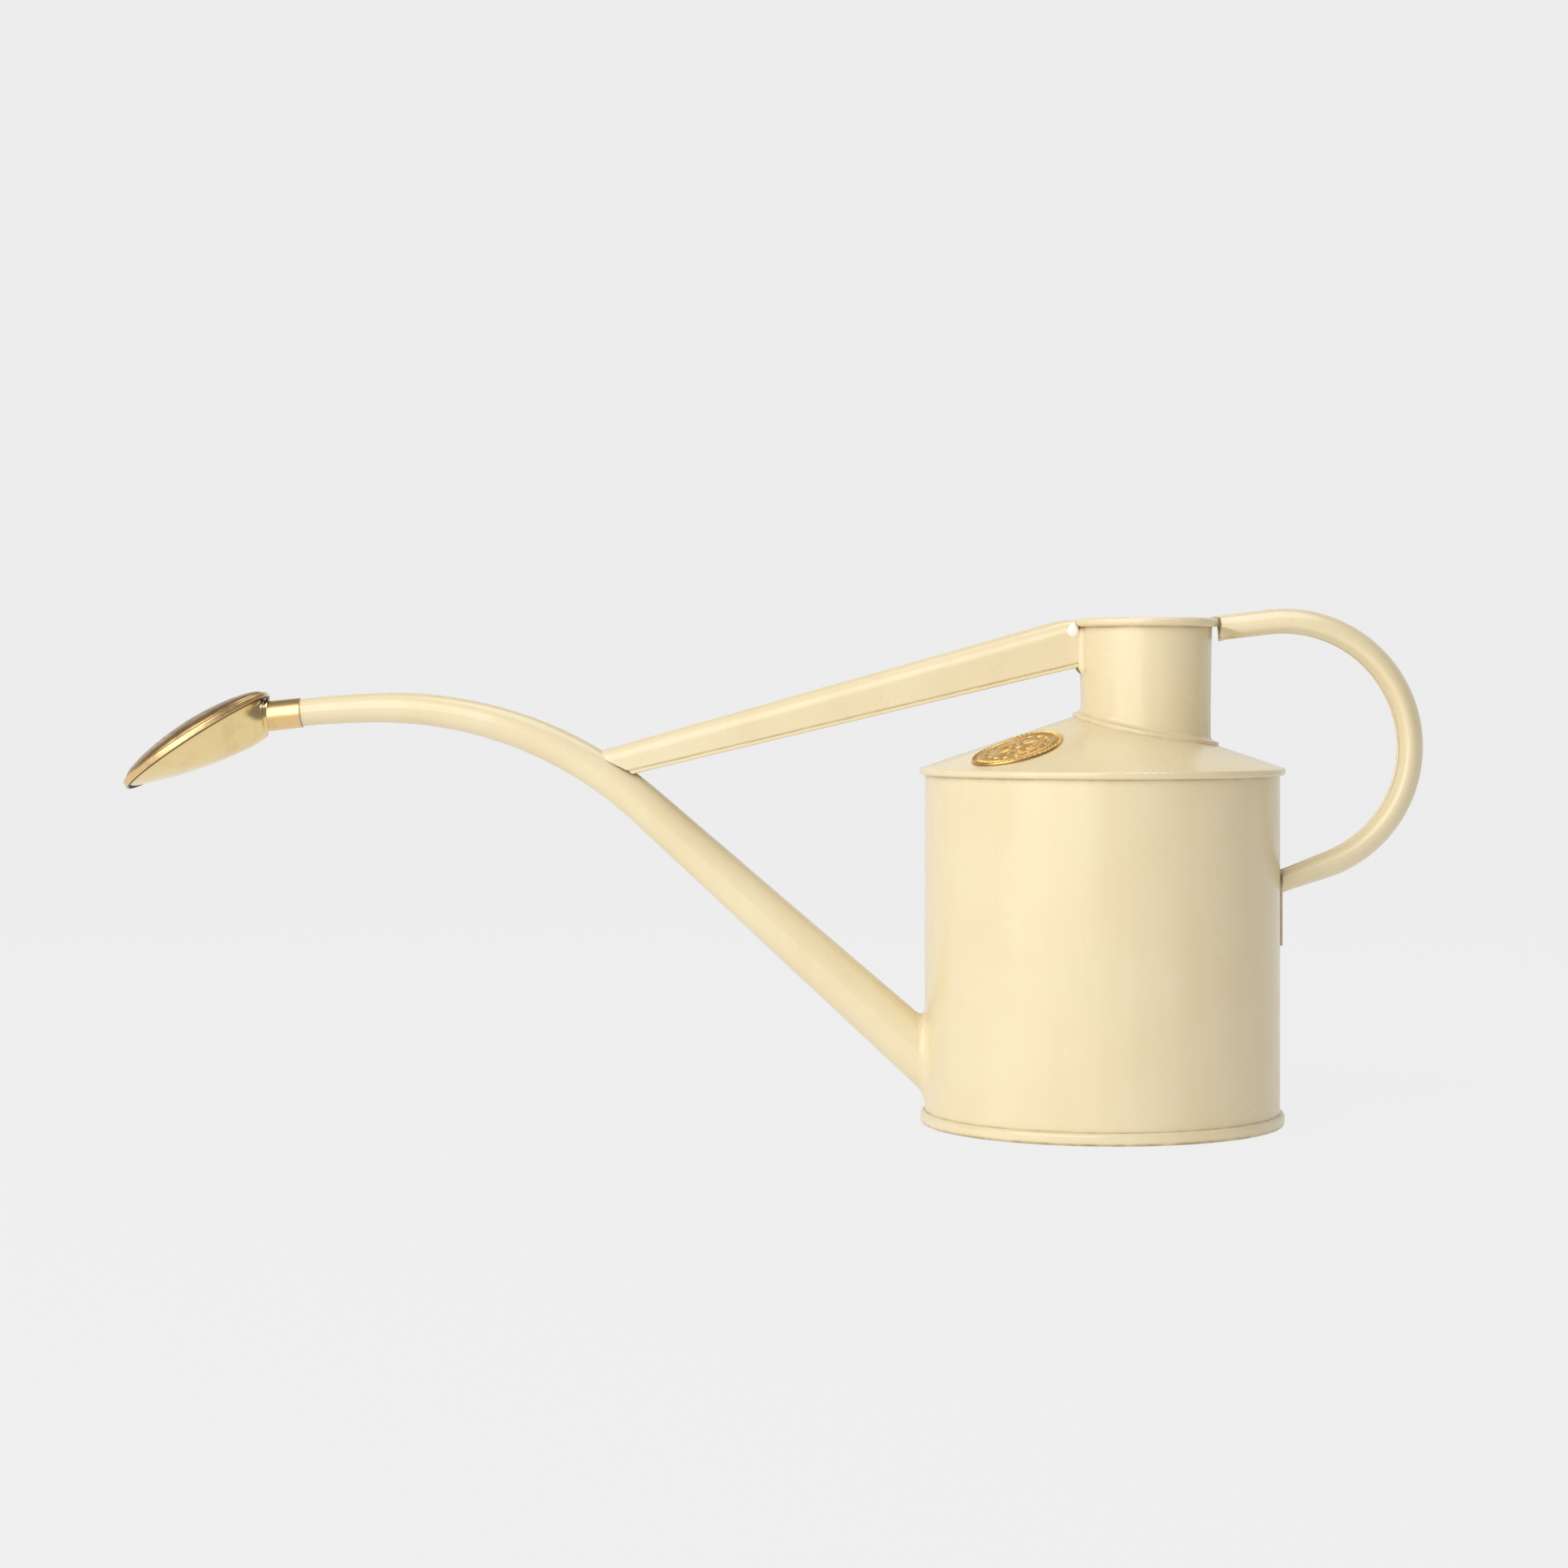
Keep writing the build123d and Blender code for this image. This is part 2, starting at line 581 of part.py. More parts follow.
def main():
    """Build every sub-part and write it."""
    os.makedirs("parts", exist_ok=True)
    spout = spout_outline()
    neck = neck_outline()
    save("base_disc", base_disc())
    save("body_shell", body_shell(spout))
    save("shoulder_cone", shoulder_cone())
    save("neck_tube", neck_tube())
    save("neck_rim_wire", neck_rim_wire())
    save("spout_tube", spout_tube())
    save("spout_root_solder", spout_root_solder(spout))
    save("stay_brace", stay_brace(spout, neck))
    save("stay_neck_solder", stay_neck_solder(neck))
    save("handle", handle(neck))
    save("handle_foot_strap", handle_foot_strap())
    save("badge", badge())
    save("rose_socket", rose_socket())
    save("rose_washer", rose_washer())
    save("rose_back", rose_back())
    save("rose_shell", rose_shell())
    save("rose_rim", rose_rim())
    save("rose_face", rose_face())


main()
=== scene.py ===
import json
import math

import bmesh
import bpy
import numpy as np
from mathutils import Matrix, Vector


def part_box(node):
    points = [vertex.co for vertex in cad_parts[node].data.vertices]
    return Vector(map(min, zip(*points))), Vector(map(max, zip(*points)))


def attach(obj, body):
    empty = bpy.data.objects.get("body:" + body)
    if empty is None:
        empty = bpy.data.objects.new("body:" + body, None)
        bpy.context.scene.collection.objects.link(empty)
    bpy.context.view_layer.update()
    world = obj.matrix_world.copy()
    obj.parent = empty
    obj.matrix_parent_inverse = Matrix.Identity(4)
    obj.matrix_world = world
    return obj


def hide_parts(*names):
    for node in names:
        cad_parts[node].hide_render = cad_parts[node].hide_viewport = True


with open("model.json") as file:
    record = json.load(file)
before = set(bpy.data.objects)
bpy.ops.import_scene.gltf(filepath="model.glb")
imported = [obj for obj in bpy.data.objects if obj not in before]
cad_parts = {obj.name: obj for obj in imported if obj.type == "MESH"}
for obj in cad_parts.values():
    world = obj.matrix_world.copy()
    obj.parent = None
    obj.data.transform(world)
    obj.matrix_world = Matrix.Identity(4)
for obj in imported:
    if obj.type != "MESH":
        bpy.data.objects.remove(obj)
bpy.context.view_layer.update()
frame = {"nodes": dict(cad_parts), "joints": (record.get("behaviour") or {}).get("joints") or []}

# A cream-enamelled watering can with a brass rose. Metres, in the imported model's frame: the origin
# is the middle of the base, +Z is up, the spout points to -X and the handle to +X.

MM = 0.001

# ---- sizes of the can, the neck and the spout, as the CAD has them ----

SHEET = 0.6 * MM                # enamelled steel sheet
SHOULDER_SLOPE = math.radians(18.5)
SHOULDER_Z, SHOULDER_REF_R = 110.3 * MM, 56.0 * MM      # height of its outside at this radius
NECK_TOP_R = 20.55 * MM
CURL_R = 1.375 * MM

SPOUT_ROOT_Z = 20.6 * MM        # where the spout's axis crosses the can's wall
SPOUT_SLOPE = math.radians(41.83)
SPOUT_RUN = 115.85 * MM
SPOUT_BEND_R = 121.5 * MM
SPOUT_BEND_TURN = math.radians(43.1)
SPOUT_EASE_R = 286.0 * MM
SPOUT_EASE_TURN = math.radians(4.8)
SPOUT_TIP_RUN = 10.3 * MM
SPOUT_ROOT_R = 8.7 * MM
SPOUT_BEND_START_R = 6.2 * MM
SPOUT_EASE_START_R = 4.6 * MM
SPOUT_TIP_R = 4.2 * MM
SPOUT_INSIDE = 4.0 * MM         # run of the spout's line followed inside the can
SPOUT_FLARE = (SPOUT_ROOT_R - SPOUT_BEND_START_R) / SPOUT_RUN

# ---- sizes of the finer shapes that stand for CAD nodes ----

SUNK = 0.02 * MM                # the solder's thin edges end this far under the surface they meet
HOLLOW = 0.05 * MM              # how far the middle of a solder run keeps off its corner
SOLDER_FILLET = 3.0 * MM

STAY_LEFT_X, STAY_RIGHT_X = -156.5 * MM, -5.0 * MM
STAY_REF_X = -14.5 * MM         # the stay's edges are given at this place
STAY_REF_TOP, STAY_REF_BOTTOM = 155.6 * MM, 139.7 * MM
STAY_TOP_RISE, STAY_BOTTOM_RISE = 0.2838, 0.2397
STAY_LEFT_WIDTH, STAY_RIGHT_WIDTH = 9.0 * MM, 11.0 * MM
STAY_SLOT = 4.4 * MM            # gap between its turned-in lower edges
STAY_HEM = 1.0 * MM             # height of the hem along each lower edge
STAY_SEAT = 0.9 * MM            # gap left open under the stay's lower end
STAY_SEAT_TOP, STAY_SEAT_RUN = 113.5 * MM, 7.0 * MM     # the gap opens below this height, over this run
STAY_SETTLE, STAY_SETTLE_START = 0.65, 0.9 * MM         # its back is pressed down level with the rim
STAY_END_SUNK = 0.15 * MM       # how far its upper end goes into the neck
STAY_SOLDER = 1.5 * MM
STAY_SOLDER_LOW, STAY_SOLDER_RUN = 139.0 * MM, 15.2 * MM
STAY_DROP_PLACE = (-9.2 * MM, -5.2 * MM, 152.9 * MM)
STAY_DROP_HALF_LENGTH, STAY_DROP_HALF_WIDTH, STAY_DROP_PROUD = 2.2 * MM, 1.95 * MM, 0.65 * MM

HANDLE_CENTRE = (56.9 * MM, 0.0, 116.7 * MM)
HANDLE_R = 38.94 * MM
HANDLE_TOP_ANGLE, HANDLE_LOW_ANGLE = math.radians(96.7), math.radians(-70)
HANDLE_FOOT_RUN = 17.0 * MM
HANDLE_WIDTH, HANDLE_DEPTH, HANDLE_FOOT_DEPTH = 13.0 * MM, 8.0 * MM, 6.9 * MM
HANDLE_WALL = 0.8 * MM
HANDLE_SLOT = 4.5 * MM
HANDLE_EGG, HANDLE_EGG_FIT = 0.24, 0.978                # the section is wider on its open side
HANDLE_END_GAP = 0.2 * MM       # between its open end and the neck's curl
HANDLE_DENT = 2.3 * MM          # depth of the dent beside its open end
DENT_X, DENT_FOLD_Z, DENT_FOLD_SLOPE = 36.5, 153.6, 0.36        # the fold above the dent, in mm
DENT_LIP_Z, DENT_LIP = 151.5, 0.35 * MM                 # its lower lip is pressed down by the dent
TONGUE_WIDTH = 5.5 * MM
TONGUE_Z, TONGUE_SLOPE = 157.1, 0.117                   # its height at DENT_X, in mm

BADGE_LENGTH, BADGE_WIDTH, BADGE_THICKNESS = 30.2 * MM, 26.0 * MM, 0.7 * MM
BADGE_RADIUS = 38.0 * MM        # its middle, from the can's axis
BADGE_AZIMUTH = math.radians(223)
BADGE_SUNK = 0.05 * MM

ROSE_REAR, ROSE_FRONT = (-259.3 * MM, 0.0, 133.15 * MM), (-303.3 * MM, 0.0, 104.5 * MM)
ROSE_HALF_WIDTH = 17.5 * MM
ROSE_ROLL = math.radians(4)
ROSE_SHEET, ROSE_FACE_SHEET = 0.3 * MM, 0.45 * MM
ROSE_BACK_DROP = 0.8 * MM
ROSE_BACK_LEAN = 0.066          # the back stands upright, though the spout's tip slopes
ROSE_BACK_GAP = 0.45 * MM       # between the spout's end and the back
ROSE_BELLY = 2.0 * MM           # how far the underside swells past a straight line
ROSE_FACE_SEAT, ROSE_FACE_SHOULDER, ROSE_FACE_DOME = 1.0, 1.5, 3.8      # steps of its height, in mm
ROSE_FACE_INSET = 1.1 * MM
ROSE_HOLE_R, ROSE_HOLE_RINGS, ROSE_HOLE_SPACING = 0.5 * MM, 6, 3.1 * MM

# ---- what the frame gives ----

BODY_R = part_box("body_shell")[1].x
NECK_X = (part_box("neck_rim_wire")[0].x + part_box("neck_rim_wire")[1].x) / 2
NECK_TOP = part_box("neck_tube")[1].z
CURL_CENTRE_R = NECK_TOP_R - SHEET + CURL_R
CURL_Z = NECK_TOP - CURL_R
HANDLE_END_X = NECK_X + CURL_CENTRE_R + CURL_R + HANDLE_END_GAP
TWIST = next(joint for joint in frame["joints"] if joint["name"] == "rose_twist")
TIP, TIP_AXIS = np.array(TWIST["pos_m"]), np.array(TWIST["axis"])
TIP_UP = np.array((TIP_AXIS[2], 0.0, -TIP_AXIS[0]))


# ---- meshes ----


def add_mesh(name, vertices, faces):
    """A mesh object in the scene, with doubled points joined and its faces turned outwards."""
    mesh = bpy.data.meshes.new(name)
    mesh.from_pydata([tuple(v) for v in vertices], [], [tuple(f) for f in faces])
    piece = bpy.data.objects.new(name, mesh)
    bpy.context.scene.collection.objects.link(piece)
    work = bmesh.new()
    work.from_mesh(mesh)
    bmesh.ops.remove_doubles(work, verts=work.verts, dist=1e-7)
    bmesh.ops.recalc_face_normals(work, faces=work.faces)
    work.to_mesh(mesh)
    work.free()
    return piece


def smooth(piece, angle=35):
    """Smooth shading with sharp edges above an angle, and normals that follow the larger faces."""
    piece.data.shade_smooth()
    piece.data.set_sharp_from_angle(angle=math.radians(angle))
    weighted = piece.modifiers.new("even_normals", "WEIGHTED_NORMAL")
    weighted.keep_sharp = True
    return piece


def grid_faces(rows, columns, wrap_rows, wrap_columns):
    """Quads between the points of a grid stored row after row."""
    faces = []
    for i in range(rows if wrap_rows else rows - 1):
        for j in range(columns if wrap_columns else columns - 1):
            row, next_row = i * columns, ((i + 1) % rows) * columns
            next_j = (j + 1) % columns
            faces.append((row + j, row + next_j, next_row + next_j, next_row + j))
    return faces


def skin(name, rows, wrap_rows=False, wrap_columns=True):
    """A mesh through rows of points, each row a list of 3-D points."""
    faces = grid_faces(len(rows), len(rows[0]), wrap_rows, wrap_columns)
    return add_mesh(name, np.array(rows, float).reshape(-1, 3), faces)


def rounded(corners, steps=6):
    """Points along an outline of (x, y, rounding) corners, each rounded corner as an arc."""
    points = []
    for i, (x, y, radius) in enumerate(corners):
        here = np.array((x, y))
        if radius <= 0:
            points.append(here)
            continue
        to_last = np.array(corners[i - 1][:2]) - here
        to_next = np.array(corners[(i + 1) % len(corners)][:2]) - here
        to_last, to_next = to_last / np.linalg.norm(to_last), to_next / np.linalg.norm(to_next)
        half = math.acos(float(np.clip(to_last @ to_next, -1, 1))) / 2
        centre = here + (to_last + to_next) / np.linalg.norm(to_last + to_next) * radius / math.sin(half)
        first = here + to_last * radius / math.tan(half) - centre
        last = here + to_next * radius / math.tan(half) - centre
        start = math.atan2(first[1], first[0])
        turn = (math.atan2(last[1], last[0]) - start + math.pi) % (2 * math.pi) - math.pi
        for k in range(steps + 1):
            angle = start + turn * k / steps
            points.append(centre + radius * np.array((math.cos(angle), math.sin(angle))))
    return points


def cut(piece, cutter):
    """Take one closed mesh away from another and drop the cutter."""
    modifier = piece.modifiers.new("cut", "BOOLEAN")
    modifier.operation = "DIFFERENCE"
    modifier.solver = "EXACT"
    modifier.object = cutter
    graph = bpy.context.evaluated_depsgraph_get()
    result = bpy.data.meshes.new_from_object(piece.evaluated_get(graph))
    piece.modifiers.clear()
    piece.data = result
    bpy.data.objects.remove(cutter)
    return piece


# ---- materials ----


def colour(red, green, blue):
    """An opaque colour, in linear light."""
    return (red, green, blue, 1.0)


class Finish:
    """One material's nodes: textures in object space, in metres, feeding a Principled shader."""

    def __init__(self, name):
        self.material = bpy.data.materials.new(name)
        self.material.use_nodes = True
        self.tree = self.material.node_tree
        self.shader = self.tree.nodes["Principled BSDF"]
        self.place = self.tree.nodes.new("ShaderNodeTexCoord").outputs["Object"]

    def add(self, kind, inputs, **settings):
        """A new node with its settings and its inputs, each a value or another node's output."""
        made = self.tree.nodes.new(kind)
        for key, value in settings.items():
            setattr(made, key, value)
        for key, value in inputs.items():
            self.feed(made.inputs[key], value)
        return made

    def feed(self, socket, value):
        """Link another node's output to a socket, or set the socket to a value."""
        if isinstance(value, bpy.types.NodeSocket):
            self.tree.links.new(value, socket)
        else:
            socket.default_value = value

    def stretched(self, scale):
        """The place scaled along each axis, so that a texture on it is drawn out."""
        return self.add("ShaderNodeMapping", {"Vector": self.place, "Scale": scale}).outputs["Vector"]

    def noise(self, size, detail=2.0, stretch=None, rough=0.5):
        """Noise whose features are about size metres across."""
        where = self.stretched(stretch) if stretch else self.place
        inputs = {"Vector": where, "Scale": 1 / size, "Detail": detail, "Roughness": rough}
        return self.add("ShaderNodeTexNoise", inputs).outputs["Fac"]

    def ramp(self, value, low, high, out_low=0.0, out_high=1.0):
        """Map a value from low..high to out_low..out_high, smoothly and clamped."""
        inputs = {"Value": value, "From Min": low, "From Max": high}
        inputs |= {"To Min": out_low, "To Max": out_high}
        return self.add("ShaderNodeMapRange", inputs, interpolation_type="SMOOTHSTEP").outputs["Result"]

    def blend(self, share, first, second):
        """Mix two colours."""
        made = self.add("ShaderNodeMix", {}, data_type="RGBA")
        self.feed(made.inputs["Factor"], share)
        self.feed(made.inputs[6], first)
        self.feed(made.inputs[7], second)
        return made.outputs[2]

    def maths(self, operation, first, second=0.0):
        """One sum on two numbers."""
        made = self.add("ShaderNodeMath", {}, operation=operation)
        self.feed(made.inputs[0], first)
        self.feed(made.inputs[1], second)
        return made.outputs[0]

    def bump(self, height, distance, under=None):
        """Relief of a depth of distance metres, on top of another bump if one is given."""
        inputs = {"Height": height, "Distance": distance, "Strength": 1.0}
        if under is not None:
            inputs["Normal"] = under
        return self.add("ShaderNodeBump", inputs).outputs["Normal"]

    def creases(self, reach):
        """How enclosed a point is within reach metres: 1 in the open, less in a corner."""
        return self.add("ShaderNodeAmbientOcclusion", {"Distance": reach}, samples=8).outputs["AO"]

    def set(self, **values):
        """Feed the shader's inputs, named with underscores for spaces."""
        for key, value in values.items():
            self.feed(self.shader.inputs[key.replace("_", " ")], value)


RUN_TONE = colour(0.735, 0.600, 0.355)
# colour of the painted shade that darkens the enamel's creases and seams
ENAMEL_CREASE_SHADE = colour(0.36, 0.24, 0.10)
ENAMEL_SPECK = colour(0.42, 0.31, 0.17)


def enamel(name, thin, thick, roughness):
    """Cream stoved enamel: satin gloss, a little uneven, darkened in its seams and creases by painted shade,
    with light rubbing.
    """
    finish = Finish(name)
    cloud = finish.noise(0.03, detail=3)
    base = finish.blend(finish.ramp(cloud, 0.3, 0.7), thin, thick)
    runs = finish.ramp(finish.noise(0.008, detail=3, stretch=(1.0, 1.0, 0.12)), 0.35, 0.75)
    base = finish.blend(finish.maths("MULTIPLY", runs, 0.30), base, RUN_TONE)
    # painted shade: the enamel darkens, in patches, in creases and seams where shade falls
    crease_shade = finish.ramp(finish.creases(0.0024), 0.30, 0.92, 0.9, 0.0)
    patchy = finish.ramp(finish.noise(0.006, detail=4), 0.3, 0.65, 0.3, 1.0)
    base = finish.blend(finish.maths("MULTIPLY", crease_shade, patchy), base, ENAMEL_CREASE_SHADE)
    speck = finish.ramp(finish.noise(0.0011, detail=1), 0.79, 0.83)
    base = finish.blend(finish.maths("MULTIPLY", speck, 0.25), base, ENAMEL_SPECK)
    rough = finish.ramp(finish.noise(0.022, detail=4), 0.3, 0.7, roughness, roughness + 0.08)
    rubbed = finish.ramp(finish.noise(0.005, detail=4, stretch=(1.0, 1.0, 0.3)), 0.5, 0.8)
    rough = finish.maths("ADD", rough, finish.maths("MULTIPLY", rubbed, 0.05))
    dents = finish.bump(finish.noise(0.034, detail=1, stretch=(1.0, 1.0, 0.35)), 0.0007)
    peel = finish.bump(finish.noise(0.0014, detail=2), 0.000010, under=dents)
    finish.set(Base_Color=base, Roughness=rough, Normal=peel, IOR=1.54)
    return finish.material


def brass(name, light, dark, roughness, patina, lacquer=0.6):
    """Lacquered brass: brushed, darker and duller in soft tarnished patches and in its creases, where the
    darkening is painted shade.
    """
    finish = Finish(name)
    tarnish = finish.ramp(finish.noise(0.007, detail=5, rough=0.6), 0.42, 0.72, 0.0, patina)
    # painted shade: the brass darkens in creases, where shade falls
    crease_shade = finish.ramp(finish.creases(0.0020), 0.45, 0.95, 1.0, 0.0)
    # the real tarnish and the painted shade in the creases, together
    tarnish_and_shade = finish.maths("MAXIMUM", tarnish, crease_shade)
    base = finish.blend(tarnish_and_shade, light, dark)
    streaks = finish.noise(0.0012, detail=3, stretch=(0.12, 1.0, 1.0))
    rough = finish.ramp(streaks, 0.3, 0.7, roughness, roughness + 0.10)
    rough = finish.maths("ADD", rough, finish.maths("MULTIPLY", tarnish_and_shade, 0.22))
    waves = finish.bump(finish.noise(0.009, detail=2), 0.0002)
    fine = finish.bump(streaks, 0.000004, under=waves)
    finish.set(Base_Color=base, Roughness=rough, Normal=fine, Metallic=1.0)
    finish.set(Coat_Weight=lacquer, Coat_Roughness=0.14)
    return finish.material


def rubber(name):
    """Black rubber with a fine grain."""
    finish = Finish(name)
    mottle = finish.noise(0.002, detail=4)
    base = finish.blend(mottle, colour(0.020, 0.019, 0.018), colour(0.05, 0.048, 0.045))
    rough = finish.ramp(finish.noise(0.001), 0.3, 0.7, 0.6, 0.8)
    grain = finish.bump(finish.noise(0.0003, detail=3), 0.00002)
    finish.set(Base_Color=base, Roughness=rough, Normal=grain)
    return finish.material


def zinc_wire(name):
    """Dull galvanised wire."""
    finish = Finish(name)
    base = finish.blend(finish.noise(0.003, detail=4), colour(0.42, 0.42, 0.41), colour(0.60, 0.60, 0.58))
    rough = finish.ramp(finish.noise(0.001), 0.3, 0.7, 0.3, 0.5)
    finish.set(Base_Color=base, Metallic=1.0, Roughness=rough)
    return finish.material


FINISHES = {
    "cream_enamel": enamel(
        "cream_enamel_finish", colour(0.765, 0.643, 0.403), colour(0.788, 0.676, 0.440), 0.20),
    # near-white, glossier enamel for the solder drop: a painted highlight
    "painted_glint_enamel": enamel(
        "painted_glint_enamel_finish", colour(0.90, 0.86, 0.76), colour(0.93, 0.90, 0.82), 0.12),
    "badge_brass": brass(
        "badge_brass_finish", colour(0.80, 0.52, 0.17), colour(0.30, 0.15, 0.035), 0.27, 0.35, 0.2),
    "rose_brass": brass(
        "rose_brass_finish", colour(0.88, 0.68, 0.33), colour(0.20, 0.12, 0.035), 0.17, 0.16),
    # near-black brass for the beads along the rose's band: a painted shadow in the crimps
    "painted_crimp_shadow": brass(
        "painted_crimp_shadow_finish", colour(0.10, 0.06, 0.025), colour(0.03, 0.02, 0.01), 0.45, 0.5),
    "warm_brass": brass(
        "warm_brass_finish", colour(0.84, 0.57, 0.26), colour(0.14, 0.07, 0.025), 0.25, 0.30),
    # the face's brass is darker than the rest of the rose's as painted shade for the dome's dark
    # reflections, and heavily tarnished
    "rose_face_brass": brass(
        "rose_face_finish", colour(0.52, 0.34, 0.15), colour(0.11, 0.07, 0.03), 0.30, 0.6, 0.3),
    "washer_rubber": rubber("washer_rubber_finish"),
    "rim_wire": zinc_wire("rim_wire_finish"),
}

# Each CAD node takes its slot's finish; the socket is a warmer brass than the rest of the rose.
for name, node in frame["nodes"].items():
    slot = node.material_slots[0].material.name
    node.material_slots[0].material = FINISHES["warm_brass" if name == "rose_socket" else slot]


# ---- small geometry ----


def unit(vector):
    """The vector at length 1."""
    vector = np.array(vector, float)
    return vector / np.linalg.norm(vector)


def heading(angle):
    """Unit direction in the plane y = 0, turned by angle from +X towards +Z."""
    return np.array((math.cos(angle), 0.0, math.sin(angle)))


def ease(value):
    """Smooth step from 0 to 1."""
    value = min(max(value, 0.0), 1.0)
    return value * value * (3 - 2 * value)


def bell(distance, width):
    """A bump of height 1 that fades to a third at width."""
    return math.exp(-((distance / width) ** 2))


def full_turn(count):
    """Evenly spaced angles once round."""
    return [2 * math.pi * k / count for k in range(count)]


def solder_curve(start, bend, end, count):
    """Points along the hollow face of a solder run, from start to end by way of bend."""
    return [(1 - t) ** 2 * start + 2 * t * (1 - t) * bend + t * t * end for t in np.linspace(0, 1, count)]


def channel(name, rows):
    """A swept open section, closed at both ends. Each row runs along its outside and back inside."""
    count = len(rows[0])
    faces = grid_faces(len(rows), count, False, True)
    for base in (0, (len(rows) - 1) * count):
        last = base + count - 1
        faces += [(base + k, base + k + 1, last - k - 1, last - k) for k in range(count // 2 - 1)]
    return add_mesh(name, np.array(rows, float).reshape(-1, 3), faces)


def fan(name, rows):
    """A closed ring swept along rows, with a middle point closing each end."""
    count = len(rows[0])
    points = [point for row in rows for point in row]
    points += [np.mean(rows[0], axis=0), np.mean(rows[-1], axis=0)]
    faces = grid_faces(len(rows), count, False, True)
    last = (len(rows) - 1) * count
    for k in range(count):
        faces.append((k, (k + 1) % count, len(points) - 2))
        faces.append((last + k, last + (k + 1) % count, len(points) - 1))
    return add_mesh(name, points, faces)


def fit(piece, body, slot, sharp=45, node=None, finish=None):
    """Finish a piece, let it ride on its body and hide the CAD node it stands for."""
    piece.data.materials.clear()
    piece.data.materials.append(FINISHES[finish or slot])
    smooth(piece, sharp)
    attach(piece, body)
    if node:
        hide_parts(node)
    return piece


# ---- the spout's line, which the solder and the stay's end follow ----

SPOUT_ROOT = np.array((-BODY_R, 0.0, SPOUT_ROOT_Z))


def spout_line(step=0.8 * MM):
    """Points along the middle of the spout from inside the can to its tip, each with its radius."""
    angle = math.pi - SPOUT_SLOPE
    point = SPOUT_ROOT - heading(angle) * SPOUT_INSIDE
    stretches = [
        (SPOUT_RUN + SPOUT_INSIDE, 0.0, SPOUT_ROOT_R + SPOUT_FLARE * SPOUT_INSIDE, SPOUT_BEND_START_R),
        (SPOUT_BEND_R * SPOUT_BEND_TURN, SPOUT_BEND_TURN, SPOUT_BEND_START_R, SPOUT_EASE_START_R),
        (SPOUT_EASE_R * SPOUT_EASE_TURN, SPOUT_EASE_TURN, SPOUT_EASE_START_R, SPOUT_TIP_R),
        (SPOUT_TIP_RUN, 0.0, SPOUT_TIP_R, SPOUT_TIP_R),
    ]
    points, radii = [point], [stretches[0][2]]
    for length, turn, start_r, end_r in stretches:
        count = max(2, round(length / step))
        for k in range(count):
            point = point + heading(angle + turn * (k + 0.5) / count) * length / count
            points.append(point)
            radii.append(start_r + (end_r - start_r) * (k + 1) / count)
        angle += turn
    return np.array(points), np.array(radii)


SPOUT_POINTS, SPOUT_RADII = spout_line()


def above_spout(point):
    """Distance of a point from the spout's outside, negative inside it."""
    gaps = np.linalg.norm(SPOUT_POINTS - point, axis=1)
    nearest = int(gaps.argmin())
    return gaps[nearest] - SPOUT_RADII[nearest]


def spout_root_solder():
    """The concave run of solder round the spout's root."""
    along = heading(math.pi - SPOUT_SLOPE)
    side = np.array((0.0, 1.0, 0.0))
    up = np.cross(side, along)
    rows = []
    for turn in full_turn(144):
        out = up * math.cos(turn) + side * math.sin(turn)
        generator = unit(along - out * SPOUT_FLARE)
        start = SPOUT_ROOT + out * SPOUT_ROOT_R
        a, b = generator[:2] @ generator[:2], start[:2] @ generator[:2]
        c = start[:2] @ start[:2] - BODY_R**2
        corner = start + generator * (-b + math.sqrt(b * b - a * c)) / a
        wall_out = unit((corner[0], corner[1], 0.0))
        reach = SOLDER_FILLET * (1.38 + 0.06 * math.sin(3 * turn + 0.6) + 0.03 * math.sin(7 * turn))
        on_wall = corner + unit(out - wall_out * (out @ wall_out)) * reach
        on_wall[:2] *= (BODY_R - SUNK) / math.hypot(on_wall[0], on_wall[1])
        on_spout = corner + generator * reach - out * SUNK
        row = solder_curve(on_spout, corner + (out + wall_out) * HOLLOW, on_wall, 25)
        row.append(on_wall - wall_out * SHEET / 2)
        row.append(corner - wall_out * SHEET / 2 - out * SHEET / 2)
        row.append(on_spout - out * SHEET / 2)
        rows.append(row)
    fillet = skin("spout_root_fillet", rows, wrap_rows=True)
    fit(fillet, "can", "cream_enamel", 50, "spout_root_solder")


# ---- the stay ----


def stay_section(width, depth):
    """The stay's sheet as a closed outline of (side, height) about its middle, hemmed below."""
    half, low, hem = width / 2, -depth / 2, STAY_HEM

    def both_sides(slot_height, left):
        """The left side's corners and their mirror image, from one edge of the slot to the other."""
        right = [(-x, z, r) for x, z, r in reversed(left)]
        return [(-STAY_SLOT / 2, slot_height, 0.0)] + left + right + [(STAY_SLOT / 2, slot_height, 0.0)]

    outer = both_sides(low, [
        (-half + 0.10 * hem, low, 0.45 * hem),
        (-half + 0.10 * hem, low + 0.95 * hem, 0.25 * hem),
        (-half + 0.45 * hem, low + 1.20 * hem, 0.08 * hem),
        (-half, low + 1.75 * hem, 0.3 * hem),
        (-half, depth / 2, half - 0.02 * MM),
    ])
    inner_half = half - SHEET
    inner = both_sides(low + SHEET, [
        (-half + 0.95 * hem, low + SHEET, 0.1 * hem),
        (-half + 0.98 * hem, low + 1.4 * hem, 0.1 * hem),
        (-half + 0.95 * hem, low + 2.0 * hem, 0.1 * hem),
        (-inner_half, low + 2.6 * hem, 0.2 * hem),
        (-inner_half, depth / 2 - SHEET, inner_half - 0.02 * MM),
    ])
    return rounded(outer + inner[::-1], 8)


